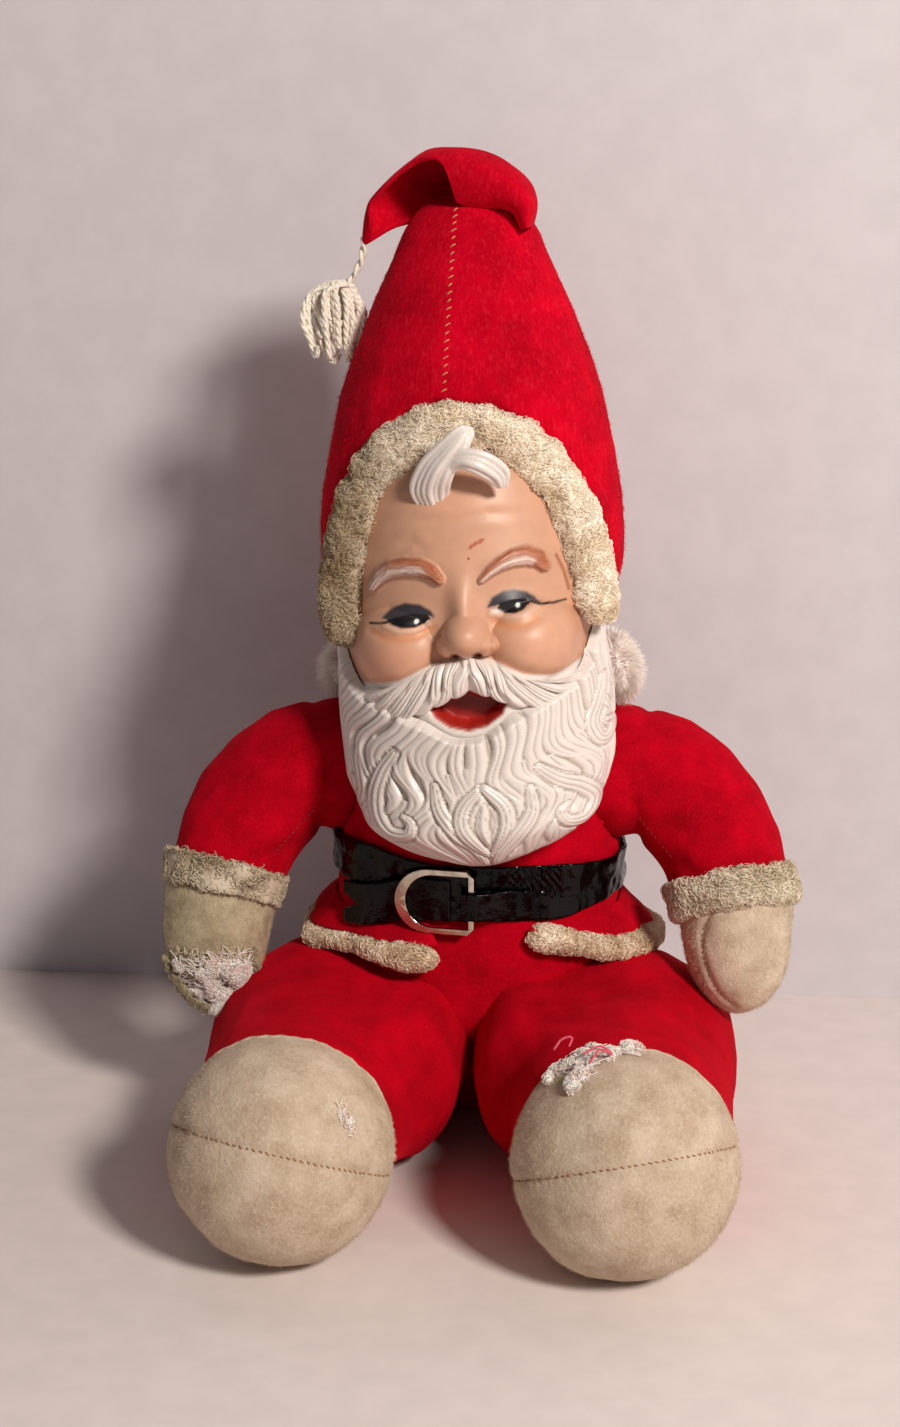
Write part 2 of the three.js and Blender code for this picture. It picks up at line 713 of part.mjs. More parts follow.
function skirtPanel(from, to) {
  const steps = 16;
  const sections = [];
  for (let i = 0; i <= steps; i += 1) {
    const angle = from + ((to - from) * i) / steps;
    const outer = [0, 0.5, 1].map((share) => skirtPoint(angle, share, 0));
    const inner = [1, 0.5, 0].map((share) => skirtPoint(angle, share, clothThickness));
    sections.push([...outer, ...inner]);
  }
  return lofted(sections);
}

function hemRoll(from, to) {
  const stations = [];
  for (let i = 0; i <= 12; i += 1) {
    const angle = from + ((to - from) * i) / 12;
    const p = skirtPoint(angle, 1, clothThickness / 2);
    stations.push({ x: p.x, y: p.y, z: p.z - hemHeight / 2 - seamGap, wide: hemHeight / 2, deep: hemThickness / 2 });
  }
  return stuffed({ sides: 6, rings: 16, across: axisZ, startCap: 6, endCap: 6, stations });
}

const frontOpening = { left: radians(30), right: radians(-16) };
for (const [name, side] of Object.entries(sides)) {
  const from = frontOpening[name];
  const to = side * (Math.PI - 0.012);
  const panel = skirtPanel(from, to).subtract(bothSweeps);
  addPiece(trunk, `skirt_${name}`, panel.subtract(stuffed(torsoForm, seamGap)), plush);
  addPiece(trunk, `hem_trim_${name}`, hemRoll(from, to).subtract(bothSweeps).subtract(stuffed(torsoForm, seamGap)), fleece);
}

// Collar: a roll of white fur round the back and sides of the neck, clear of the head as it turns
function headTurnClearance() {
  const read = formReader(headForm, seamGap);
  const profile = [new THREE.Vector2(0, read(0).middle.z)];
  for (let i = 1; i < 8; i += 1) {
    const { middle, wide } = read(i / 8);
    profile.push(new THREE.Vector2(wide, middle.z));
  }
  profile.push(new THREE.Vector2(0, read(1).middle.z));
  return solidOf(new THREE.LatheGeometry(profile, 24).rotateX(Math.PI / 2).translate(0, torsoSetBack, 0));
}

function collarSolid() {
  const stations = [];
  for (let i = 0; i <= 14; i += 1) {
    const angle = radians(82 + (196 * i) / 14);
    stations.push({
      x: collarHalfWidth * Math.sin(angle),
      y: torsoSetBack - collarHalfDepth * Math.cos(angle),
      z: neckHeight + 3 - 4 * Math.cos(angle),
      wide: collarRadius,
      deep: collarRadius,
    });
  }
  return stuffed({ sides: 10, rings: 16, across: axisZ, startCap: 8, endCap: 8, stations })
    .subtract(headTurnClearance())
    .subtract(swept(headCore(seamGap), headPivot, axisZ, -headTurn, headTurn, 4))
    .subtract(stuffed(torsoForm, seamGap).subtract(neckCut))
    .subtract(sockets);
}

// Arms and legs, each on its own pivot
for (const [name, side] of Object.entries(sides)) {
  const arm = new THREE.Group();
  arm.position.copy(shoulderAt(side));
  const leg = new THREE.Group();
  leg.position.copy(legs[name].hip);
  trunk.add(arm, leg);
  const clearOfThigh = (solid) => solid.subtract(moved(legs[name].leg, new THREE.Matrix4().makeTranslation(0, 0, seamGap)));
  addPiece(arm, `sleeve_${name}`, arms[name].sleeve, plush);
  addPiece(arm, `cuff_${name}`, arms[name].cuff, fleece);
  addPiece(arm, `mitten_${name}`, clearOfThigh(arms[name].mitten), footPlush);
  addPiece(leg, `leg_${name}`, legs[name].leg, plush);
  addPiece(leg, `foot_upper_${name}`, legs[name].upper, footPlush);
  addPiece(leg, `foot_sole_${name}`, legs[name].sole, footPlush);
}

// Face mask, in its own frame: a thin moulded shell with nose, cheeks, brows, forelock, moustache and beard
const onFace = (x, z, lift = 0) => vector(x, frontOf(maskForm, x, z) - lift, z);

// A lock of hair: a tapered strand that lies on the mask, through points given across and up
function lock(points, radius, lift = 0.3, steps = 6) {
  const count = points.length;
  const stations = points.map(([x, z], i) => {
    const share = i / (count - 1);
    const fat = radius * (0.45 + 0.55 * Math.sin(Math.PI * Math.min(1, 0.18 + share * 0.82)));
    const p = onFace(x, z, radius * lift);
    return { x: p.x, y: p.y, z: p.z, wide: fat, deep: fat };
  });
  const strand = { sides: 5, rings: steps, startCap: radius, endCap: radius * 1.6, across: vector(0, 1, 0.01) };
  return (grow) => stuffed({ ...strand, stations }, grow);
}

const bump = (x, z, lift, wide, deep, high, segments = 8, rings = 6) => (grow) =>
  ball(onFace(x, z, lift), wide + grow, deep + grow, high + grow, segments, rings);

// Beard: locks that run from the moustache down to the tip in slow waves
function beardLocks() {
  const count = 8;
  const locks = [];
  for (let i = 0; i < count; i += 1) {
    const across = (2 * i) / (count - 1) - 1;
    const startX = across * (beardHalfWidth - 8);
    const startZ = -beardDrop * (0.42 - 0.2 * across ** 2);
    const endX = across * beardHalfWidth * 0.5;
    const endZ = -beardDrop * (0.97 - 0.24 * across ** 2);
    const points = [];
    for (let k = 0; k <= 5; k += 1) {
      const share = k / 5;
      const wave = 4.2 * Math.sin(Math.PI * 2 * share + (i % 2 ? 0.6 : 2.2)) * Math.sin(Math.PI * share);
      const bow = Math.sin(Math.PI * share) * across * 7;
      points.push([startX + (endX - startX) * share + wave + bow, startZ + (endZ - startZ) * share]);
    }
    locks.push(lock(points, 8 - Math.abs(across), 0.3, 6));
  }
  return locks;
}

// Moustache: strands that part under the nose, droop past the mouth and curl up at their ends
function moustache(side) {
  return [[0, 54, 4.4], [7, 48, 4.6]].map(([drop, reach, fat]) =>
    lock(
      [
        [side * 1.5, -12 - drop * 0.5],
        [side * 14, -15 - drop * 0.6],
        [side * 30, -24 - drop],
        [side * reach * 0.88, -26 - drop],
        [side * reach, -18 - drop],
      ],
      fat,
      0.9,
      7,
    ),
  );
}

// The curl of hair on the forehead, an S lying down
const forelock = [
  lock([[-19, 62], [-11, 66], [-4, 74], [-2, 84]], 4.4, 0.5),
  lock([[-6, 68], [6, 73], [13, 69], [17, 63]], 4.4, 0.5),
];

// Everything that stands out from the mask's plain skin
function maskFeatures() {
  const features = [
    bump(0, 0, 5, 9.5, 10, 8.5, 12, 9),
    bump(-8, -3, 2, 5.5, 7, 5),
    bump(8, -3, 2, 5.5, 7, 5),
    bump(0, 12, -2, 5, 7, 13),
    ...forelock,
    ...beardLocks(),
  ];
  for (const side of [-1, 1]) {
    features.push(
      bump(side * 30, -6, -8, 19, 15, 16, 12, 8),
      lock([[side * 9, 24], [side * 20, 31], [side * 32, 30], [side * 39, 24]], 3.6, 0.4, 5),
      lock([[side * 52, -8], [side * 56, -26], [side * 55, -44], [side * 57, -58]], 5),
      ...moustache(side),
    );
  }
  return features;
}

// The open mouth is a cup sunk into the face, and the eyes are shallow hollows
const mouthCup = (grow) => ball(onFace(0, -33, -1), 16.5 + grow, 9 + grow, 8.5 + grow, 14, 8);

function maskRecesses() {
  const recesses = [mouthCup(0)];
  for (const side of [-1, 1]) {
    recesses.push(ball(onFace(side * 21, 12, 0.5), 10.5, 2.4, 4.4, 10, 6));
  }
  return joined(recesses);
}

// What the chest and the belt pass as the head turns over them
function chestPast() {
  const chest = stuffed({ ...torsoForm, rings: 14 }, seamGap + 1);
  const belt = stuffed({ ...torsoForm, rings: 14 }, beltOuter + 1.5).intersect(
    block(vector(-farAway, -farAway, beltLow - 4), vector(farAway, farAway, beltHigh + 2)),
  );
  const buckleFront = onBelt(buckleX, buckleLift + buckleThickness * 3).y;
  const buckle = block(
    vector(buckleLeft - buckleBar, buckleFront, buckleZ - buckleHeight * 0.6),
    vector(buckleRight + buckleWidth * 0.3, 0, buckleZ + buckleHeight * 0.6),
  );
  return swept(joined([chest, belt, buckle, sockets]), headPivot, axisZ, -headTurn, headTurn, 2);
}

const maskInner = (grow) => stuffed({ ...maskForm, rings: 8, sides: 16 }, grow);
const behindMask = (y) => block(vector(-farAway, y, -farAway), vector(farAway, farAway, farAway));

const mask = moved(
  joined([stuffed(maskForm), ...maskFeatures().map((feature) => feature(0))])
    .subtract(maskRecesses())
    .subtract(maskInner(-maskWall).subtract(mouthCup(maskWall * 0.6)))
    .subtract(behindMask(maskBackY)),
  faceMatrix,
).subtract(chestPast());

// Stuffed head: it fills the mask from behind, fills the hat, and stands on the neck seam
function headCore(grow = 0) {
  const neckFloor = neckHeight + seamGap - grow;
  const belowNeck = block(vector(-farAway, -farAway, -farAway), vector(farAway, farAway, neckFloor));
  const filling = moved(
    maskInner(grow - maskWall - seamGap)
      .subtract(mouthCup(maskWall * 0.6 + seamGap))
      .subtract(behindMask(maskBackY + 20)),
    faceMatrix,
  );
  const back = stuffed(headForm, grow).intersect(moved(behindMask(maskBackY + seamGap - grow), faceMatrix));
  return back.add(filling).subtract(belowNeck).subtract(chestPast());
}

// Fleece round the face: an arch that lies on the mask's edge and turns in under the hat
function trimArch(grow) {
  const stations = [];
  for (let i = 0; i <= 10; i += 1) {
    const angle = radians(-104 + (208 * i) / 10);
    const up = Math.max(0, Math.cos(angle));
    const rise = up > 0 ? foreheadHeight - 6 : 56;
    stations.push({
      x: (faceHalfWidth - trimInset) * Math.sin(angle),
      y: -28 - 9 * up ** 1.5,
      z: rise * Math.cos(angle) + 4,
      wide: trimThickness,
      deep: trimRadius,
    });
  }
  const arch = { sides: 12, rings: 24, across: vector(0, 1, 0.02), startCap: 9, endCap: 9, stations };
  return moved(stuffed(arch, grow), faceMatrix);
}

// Hat: a stuffed cone over the back and top of the head, open where the face is
const maskPast = moved(stuffed(maskForm, seamGap), faceMatrix);
const featuresPast = moved(joined(maskFeatures().map((feature) => feature(seamGap))), faceMatrix);
const headPast = stuffed(headForm, seamGap);
const faceOpening = moved(
  stuffed({
    level: true,
    rings: 8,
    sides: 16,
    startCap: 30,
    stations: [
      { y: -30, z: foreheadHeight - 2, wide: faceHalfWidth - 8, deep: 40 },
      { y: -30, z: 20, wide: faceHalfWidth - 2, deep: 46 },
      { y: -30, z: -80, wide: faceHalfWidth - 2, deep: 46 },
    ],
  }),
  faceMatrix,
);
const hat = stuffed(hatForm)
  .subtract(headPast.add(maskPast))
  .subtract(featuresPast)
  .subtract(faceOpening)
  .subtract(trimArch(seamGap));

addPiece(trunk, "collar", collarSolid(), whiteFur);
addPiece(head, "head_core", headCore(), plush);
addPiece(head, "hat_crown", hat, plush);
addPiece(face, "face_mask", mask, vinylFace);
addPiece(face, "face_trim", trimArch(0).subtract(maskPast).subtract(headPast).subtract(featuresPast), fleece);

// Folded tip of the hat: an empty cone of cloth that bends over to the doll's right in an arch
const rootX = hatShift + hatHalfWidth * 0.3;
const tipLine = [
  { out: 0.02, up: -8, wide: 0.86, deep: 6 },
  { out: 0.06, up: 4, wide: 1, deep: 9 },
  { out: 0.28, up: 7, wide: 1.06, deep: 10.5 },
  { out: 0.54, up: 4, wide: 1, deep: 11 },
  { out: 0.78, up: -6, wide: 0.78, deep: 9.5 },
  { out: 1, up: -24, wide: 0.3, deep: 4 },
];
const tipForm = {
  sides: 14,
  rings: 12,
  across: vector(0, 1, 0),
  startCap: 5,
  endCap: 7,
  stations: tipLine.map(({ out, up, wide, deep }) => ({
    x: rootX - tipReach * out,
    y: torsoSetBack - 4,
    z: hatTop + up,
    wide: hatTipHalfWidth * wide,
    deep,
  })),
};
const tipHollow = moved(
  stuffed({ ...tipForm, startCap: 2 }, -hatTipThickness),
  new THREE.Matrix4().makeTranslation(-3, -2, -5),
);
const tipHinge = vector(rootX + 3, torsoSetBack - 4, hatTop - 8);
foldedTip.position.copy(tipHinge).sub(headPivot);
const crownTop = stuffed(hatForm, socketGap).intersect(
  block(vector(-farAway, -farAway, hatTop - 60), vector(farAway, farAway, farAway)),
);
const crownPast = swept(crownTop, tipHinge, vector(0, 1, 0), -tipLift, 0, 3);
addPiece(foldedTip, "hat_tip", stuffed(tipForm).subtract(tipHollow).subtract(crownPast), plush);

// Tassel: a bundle of yarn on a short knotted tie
const tieTop = vector(rootX - tipReach, torsoSetBack - 4, hatTop - 24 - seamGap);
tasselGroup.position.copy(tieTop).sub(tipHinge);
const tieEnd = tieTop.clone().add(vector(-tasselOutward * 0.5, 4, -tasselDrop));
const tie = stuffed({
  sides: 8,
  rings: 8,
  across: vector(0, 1, 0),
  stations: [
    { ...tieTop.clone(), wide: yarnDiameter / 2, deep: yarnDiameter / 2 },
    { ...tieTop.clone().add(vector(0.5, 1, -5)), wide: yarnDiameter / 2, deep: yarnDiameter / 2 },
    { ...tieTop.clone().add(vector(-2, 3, -11)), wide: yarnDiameter, deep: yarnDiameter },
    { ...tieEnd, wide: yarnDiameter / 2, deep: yarnDiameter / 2 },
  ],
});
const tasselForm = {
  sides: 18,
  rings: 9,
  across: vector(0, 1, 0),
  startCap: 8,
  endCap: 7,
  wave: (angle) => 0.7 * Math.cos(angle * 6),
  stations: [
    { ...tieEnd.clone().add(vector(-5, 1, 2)), wide: tasselRadius * 0.8, deep: tasselRadius * 0.9 },
    { ...tieEnd.clone().add(vector(-7, 2, -tasselLength * 0.35)), wide: tasselRadius * 0.8, deep: tasselRadius },
    { ...tieEnd.clone().add(vector(-3, 4, -tasselLength)), wide: tasselRadius * 0.6, deep: tasselRadius * 0.7 },
  ],
};
const tassel = stuffed(tasselForm).subtract(stuffed(hatForm, socketGap));
addPiece(tasselGroup, "tassel_tie", tie.subtract(stuffed(tasselForm, seamGap)), yarn);
addPiece(tasselGroup, "tassel", tassel, yarn);

export default doll;
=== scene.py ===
"""Looks of a seated vintage Santa doll: plush, fleece, moulded vinyl, yarn, belt and buckle."""

from __future__ import annotations

import logging
import math
from collections.abc import Callable, Iterable, Sequence
from dataclasses import dataclass
from enum import Enum
from typing import Any

import bmesh
import bpy
import numpy as np
from mathutils import Euler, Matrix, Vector
from mathutils.bvhtree import BVHTree


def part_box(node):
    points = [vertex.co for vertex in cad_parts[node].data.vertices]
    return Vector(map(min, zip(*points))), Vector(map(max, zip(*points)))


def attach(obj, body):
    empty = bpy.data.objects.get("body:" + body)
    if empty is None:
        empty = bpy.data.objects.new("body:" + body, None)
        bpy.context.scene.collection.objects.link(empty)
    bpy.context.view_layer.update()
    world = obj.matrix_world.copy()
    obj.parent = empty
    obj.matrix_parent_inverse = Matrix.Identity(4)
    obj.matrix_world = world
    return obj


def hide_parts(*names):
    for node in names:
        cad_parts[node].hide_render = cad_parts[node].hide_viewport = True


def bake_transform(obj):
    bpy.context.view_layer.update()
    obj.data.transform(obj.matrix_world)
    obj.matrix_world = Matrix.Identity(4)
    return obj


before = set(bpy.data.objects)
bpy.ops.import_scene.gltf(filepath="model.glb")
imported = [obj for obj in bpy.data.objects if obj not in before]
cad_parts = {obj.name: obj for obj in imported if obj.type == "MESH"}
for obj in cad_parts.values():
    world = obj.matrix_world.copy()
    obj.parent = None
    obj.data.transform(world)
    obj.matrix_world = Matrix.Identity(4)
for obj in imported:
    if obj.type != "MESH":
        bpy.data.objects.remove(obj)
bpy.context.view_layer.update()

LOG = logging.getLogger("doll")
MM = 0.001
FAR = 200.0
Points = np.ndarray
Field = Callable[[Points, Points], np.ndarray]


class Body(Enum):
    """The bodies that the doll's joints move."""

    TRUNK = "trunk"
    HEAD = "head"
    HAT_FOLD = "hat_fold"
    TASSEL = "tassel_hang"
    ARM_LEFT = "arm_left"
    ARM_RIGHT = "arm_right"
    LEG_LEFT = "leg_left_body"
    LEG_RIGHT = "leg_right_body"


class Side(Enum):
    """A side of the doll, with the sign of its x."""

    LEFT = 1
    RIGHT = -1

    @property
    def word(self) -> str:
        """The side's name in lower case."""
        return self.name.lower()


def linear(code: str) -> tuple[float, float, float, float]:
    """Turns an sRGB hex colour to linear light.

    Args:
        code: Six hex digits after a hash.

    Returns:
        Red, green, blue and an opacity of 1.
    """
    parts = [int(code[i : i + 2], 16) / 255 for i in (1, 3, 5)]
    light = [c / 12.92 if c <= 0.04045 else ((c + 0.055) / 1.055) ** 2.4 for c in parts]
    return (*light, 1.0)


def grain(points: Points, size: float, seed: int = 0) -> np.ndarray:
    """Smooth noise through space.

    Args:
        points: Places in millimetres.
        size: Width of one lump in millimetres.
        seed: Which noise.

    Returns:
        A value from -1 to 1 at each place.
    """
    scaled = points / size + 31.7 * seed + 100.0
    cell = np.floor(scaled)
    part = scaled - cell
    part = part * part * (3 - 2 * part)
    total = np.zeros(len(points))
    for corner in np.ndindex(2, 2, 2):
        at = cell + corner
        mixed = np.sin(at @ np.array([127.1, 311.7, 74.7]) + seed) * 43758.5453
        weight = np.prod(np.where(np.array(corner) == 1, part, 1 - part), axis=1)
        total += (mixed - np.floor(mixed)) * weight
    return total * 2 - 1


def step(value: np.ndarray, low: float, high: float) -> np.ndarray:
    """A smooth rise from 0 at low to 1 at high, or a fall if high is below low."""
    share = np.clip((value - low) / (high - low), 0, 1)
    return share * share * (3 - 2 * share)


def from_line(points: Points, line: Sequence[Sequence[float]]) -> tuple[np.ndarray, np.ndarray]:
    """How far each point is from a broken line, and how far along that is.

    Args:
        points: Places, in two or three dimensions.
        line: The line's corners.

    Returns:
        The distances, and the shares of the line's length.
    """
    corners = np.array(line, float)
    lengths = np.linalg.norm(np.diff(corners, axis=0), axis=1)
    runs = np.concatenate([[0], np.cumsum(lengths)])
    best = np.full(len(points), 1e9)
    share = np.zeros(len(points))
    for a, b, run, length in zip(corners[:-1], corners[1:], runs, lengths):
        along = np.clip(((points - a) @ (b - a)) / length**2, 0, 1)
        away = np.linalg.norm(points - (a + along[:, None] * (b - a)), axis=1)
        nearer = away < best
        best[nearer] = away[nearer]
        share[nearer] = (run + along[nearer] * length) / runs[-1]
    return best, share


def inside(points: Points, outline: Sequence[Sequence[float]]) -> np.ndarray:
    """How deep each flat point lies inside a closed outline, negative outside.

    Args:
        points: Places across and up.
        outline: The outline's corners in order.

    Returns:
        Signed distances in the outline's unit.
    """
    corners = list(outline)
    away, _ = from_line(points, corners + corners[:1])
    x, z = points[:, 0], points[:, 1]
    within = np.zeros(len(points), bool)
    for (ax, az), (bx, bz) in zip(corners, corners[1:] + corners[:1]):
        if az != bz:
            crosses = ((az > z) != (bz > z)) & (x < (bx - ax) * (z - az) / (bz - az) + ax)
            within ^= crosses
    return np.where(within, away, -away)


def flowing(points: Iterable[Sequence[float]], count: int) -> Points:
    """A smooth curve through points, as evenly spaced places.

    Args:
        points: The places that the curve passes.
        count: How many places to give back.

    Returns:
        The places along the curve.
    """
    p = np.array(list(points), float)
    ends = np.vstack([2 * p[0] - p[1], p, 2 * p[-1] - p[-2]])
    spans = len(p) - 1
    t = np.linspace(0, spans, spans * 12 + 1)[:, None]
    k = np.minimum(t.astype(int), spans - 1)[:, 0]
    w = t - k[:, None]
    a, b, c, d = ends[k], ends[k + 1], ends[k + 2], ends[k + 3]
    fine = 0.5 * (2 * b + (c - a) * w + (2 * a - 5 * b + 4 * c - d) * w**2 + (3 * b - a - 3 * c + d) * w**3)
    run = np.concatenate([[0], np.cumsum(np.linalg.norm(np.diff(fine, axis=0), axis=1))])
    at = np.linspace(0, run[-1], count)
    return np.stack([np.interp(at, run, fine[:, i]) for i in range(p.shape[1])], axis=1)


def linked(name: str, mesh: bpy.types.Mesh) -> bpy.types.Object:
    """A new object with a mesh, in the scene."""
    obj = bpy.data.objects.new(name, mesh)
    bpy.context.scene.collection.objects.link(obj)
    return obj


def finished(name: str, work: bmesh.types.BMesh, smooth: bool = True) -> bpy.types.Object:
    """Turns a mesh in the making into a new object.

    Args:
        name: The object's name.
        work: The mesh, which is freed.
        smooth: Whether it is shaded as one curved skin.

    Returns:
        The new object.
    """
    mesh = bpy.data.meshes.new(name)
    work.to_mesh(mesh)
    work.free()
    if smooth:
        mesh.shade_smooth()
    return linked(name, mesh)


def places(obj: bpy.types.Object, what: str = "co") -> Points:
    """The vertices of an object, or their normals, as rows; places are in millimetres."""
    flat = np.empty(len(obj.data.vertices) * 3, np.float32)
    obj.data.vertices.foreach_get(what, flat)
    return flat.reshape(-1, 3).astype(float) / (MM if what == "co" else 1)


def move_to(obj: bpy.types.Object, points: Points) -> None:
    """Puts an object's vertices at new places in millimetres."""
    obj.data.vertices.foreach_set("co", (points * MM).astype(np.float32).ravel())
    obj.data.update()


def sculpt(obj: bpy.types.Object, *fields: Field) -> None:
    """Moves a mesh's skin in and out, one field after another.

    Args:
        obj: The object.
        fields: Each takes places and normals and gives heights in millimetres.
    """
    for heights in fields:
        points, normals = places(obj), places(obj, "normal")
        move_to(obj, points + normals * np.broadcast_to(heights(points, normals), len(points))[:, None])


def crease(line: Sequence[Sequence[float]], width: float, depth: float) -> Field:
    """A field that presses a soft groove along a line, deepest in its middle.

    Args:
        line: Corners of the line in millimetres.
        width: Half width of the groove.
        depth: How deep; negative makes a ridge.

    Returns:
        The field.
    """

    def heights(points: Points, _: Points) -> np.ndarray:
        """The groove's depth at each place."""
        away, along = from_line(points, line)
        return -depth * np.exp(-((away / width) ** 2)) * np.sin(math.pi * np.clip(along, 0.04, 0.96)) ** 0.5

    return heights


def lumps(size: float, height: float, seed: int = 0) -> Field:
    """A field of soft lumps, as stuffing makes under cloth."""
    return lambda points, _: height * grain(points, size, seed)


def with_modifiers(obj: bpy.types.Object, stack: Sequence[tuple[str, dict[str, Any]]]) -> None:
    """Runs modifiers on an object and keeps their result as its mesh.

    Args:
        obj: The object.
        stack: Each modifier's kind and settings.
    """
    for kind, settings in stack:
        modifier = obj.modifiers.new(kind.title(), kind)
        for key, value in settings.items():
            setattr(modifier, key, value)
    graph = bpy.context.evaluated_depsgraph_get()
    obj.data = bpy.data.meshes.new_from_object(obj.evaluated_get(graph), depsgraph=graph)
    obj.modifiers.clear()


def cad_copy(name: str, nodes: Sequence[str]) -> bpy.types.Object:
    """A merged copy of nodes' meshes as one new object."""
    work = bmesh.new()
    for node in nodes:
        work.from_mesh(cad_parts[node].data)
    bmesh.ops.remove_doubles(work, verts=work.verts, dist=1e-5)
    return finished(name, work, smooth=False)


def recast(obj: bpy.types.Object, voxel: float, rounds: int = 0) -> None:
    """Rebuilds an object as one even skin.

    Args:
        obj: The object.
        voxel: Size of the skin's cells in millimetres.
        rounds: How often it is smoothed.
    """
    stack = [("REMESH", {"mode": "VOXEL", "voxel_size": voxel * MM, "use_smooth_shade": True})]
    if rounds:
        stack.append(("SMOOTH", {"factor": 0.5, "iterations": rounds}))
    with_modifiers(obj, stack)


def soft_form(name: str, nodes: Sequence[str], voxel: float, rounds: int, grow: float) -> bpy.types.Object:
    """A rounded, finely divided skin over the solids of some nodes.

    Args:
        name: The piece's name.
        nodes: The nodes that it stands for.
        voxel: Size of its cells in millimetres.
        rounds: How often it is smoothed.
        grow: How far its skin then swells.

    Returns:
        The new object.
    """
    obj = cad_copy(name, nodes)
    recast(obj, voxel, rounds)
    sculpt(obj, lambda points, _: grow)
    return obj


class Surface:
    """A skin that other pieces are laid on."""

    def __init__(self, obj: bpy.types.Object) -> None:
        """Reads the skin of an object."""
        work = bmesh.new()
        work.from_mesh(obj.data)
        self.tree = BVHTree.FromBMesh(work)
        work.free()

    def nearest(self, points: Points) -> tuple[Points, Points]:
        """The nearest places on the skin, and the skin's normals there."""
        found = [self.tree.find_nearest(Vector(p * MM)) for p in points]
        return np.array([f[0] for f in found]) / MM, np.array([f[1] for f in found])

    def laid(self, points: Points, lift: float | np.ndarray = 0.0) -> Points:
        """Points moved onto the skin and lifted off it by some millimetres."""
        on, normal = self.nearest(points)
        return on + normal * np.broadcast_to(lift, len(points))[:, None]

    def met(self, start: Sequence[float], way: Sequence[float]) -> Points | None:
        """Where a line from a start first meets the skin, in millimetres."""
        hit = self.tree.ray_cast(Vector(start) * MM, Vector(way))[0]
        return None if hit is None else np.array(hit) / MM

    def in_front(self, spots: Iterable[Sequence[float]]) -> Points:
        """Where lines from far in front, given across and up, first meet the skin."""
        found = [self.met((x, -FAR, z), (0, 1, 0)) for x, z in spots]
        return np.array([spot for spot in found if spot is not None])

    def round(self, middle: Points, ways: Points) -> Points:
        """Where lines that come in from far outside towards a middle first meet the skin."""
        found = [self.met(middle + way * 150, -way) for way in ways]
        return np.array([spot for spot in found if spot is not None])


@dataclass
class Strand:
    """A round strand of hair, yarn or thread."""

    points: Points
    radii: np.ndarray


def strands(name: str, lines: Sequence[Strand], sides: int = 0, flat: bool = False) -> bpy.types.Object:
    """Makes strands into one mesh.

    Args:
        name: The piece's name.
        lines: The strands.
        sides: 0 for a square section, 1 for six sides, 2 for eight.
        flat: Whether the strands are flat fibres instead of round ones.

    Returns:
        The new object.
    """
    curve = bpy.data.curves.new(name, "CURVE")
    curve.dimensions = "3D"
    if flat:
        curve.extrude = MM
    else:
        curve.bevel_depth, curve.bevel_resolution, curve.use_fill_caps = MM, sides, True
    for line in lines:
        spline = curve.splines.new("POLY")
        spline.points.add(len(line.points) - 1)
        four = np.column_stack([line.points * MM, np.ones(len(line.points))])
        spline.points.foreach_set("co", four.astype(np.float32).ravel())
        spline.points.foreach_set("radius", np.broadcast_to(line.radii, len(line.points)).astype(np.float32))
    maker = bpy.data.objects.new(name + "_line", curve)
    bpy.context.scene.collection.objects.link(maker)
    graph = bpy.context.evaluated_depsgraph_get()
    mesh = bpy.data.meshes.new_from_object(maker.evaluated_get(graph), depsgraph=graph)
    bpy.data.objects.remove(maker)
    mesh.name = name
    mesh.shade_smooth()
    return linked(name, mesh)


def joined(name: str, *objects: bpy.types.Object) -> bpy.types.Object:
    """Joins objects' meshes into a new one and removes them."""
    work = bmesh.new()
    for obj in objects:
        work.from_mesh(obj.data)
        bpy.data.objects.remove(obj)
    return finished(name, work)


def scattered(obj: bpy.types.Object, count: int, seed: int) -> tuple[Points, Points]:
    """Even random places on a mesh, and the normals there.

    Args:
        obj: The object.
        count: How many places.
        seed: Which choice.

    Returns:
        Places in millimetres and normals.
    """
    mesh = obj.data
    mesh.calc_loop_triangles()
    corners = np.empty(len(mesh.loop_triangles) * 3, np.int32)
    mesh.loop_triangles.foreach_get("vertices", corners)
    tri = places(obj)[corners.reshape(-1, 3)]
    cross = np.cross(tri[:, 1] - tri[:, 0], tri[:, 2] - tri[:, 0])
    area = np.linalg.norm(cross, axis=1)
    rng = np.random.default_rng(seed)
    pick = rng.choice(len(tri), count, p=area / area.sum())
    u, v = rng.random((2, count))
    flip = u + v > 1
    u[flip], v[flip] = 1 - u[flip], 1 - v[flip]
    t = tri[pick]
    spots = t[:, 0] + u[:, None] * (t[:, 1] - t[:, 0]) + v[:, None] * (t[:, 2] - t[:, 0])
    return spots, cross[pick] / area[pick][:, None]


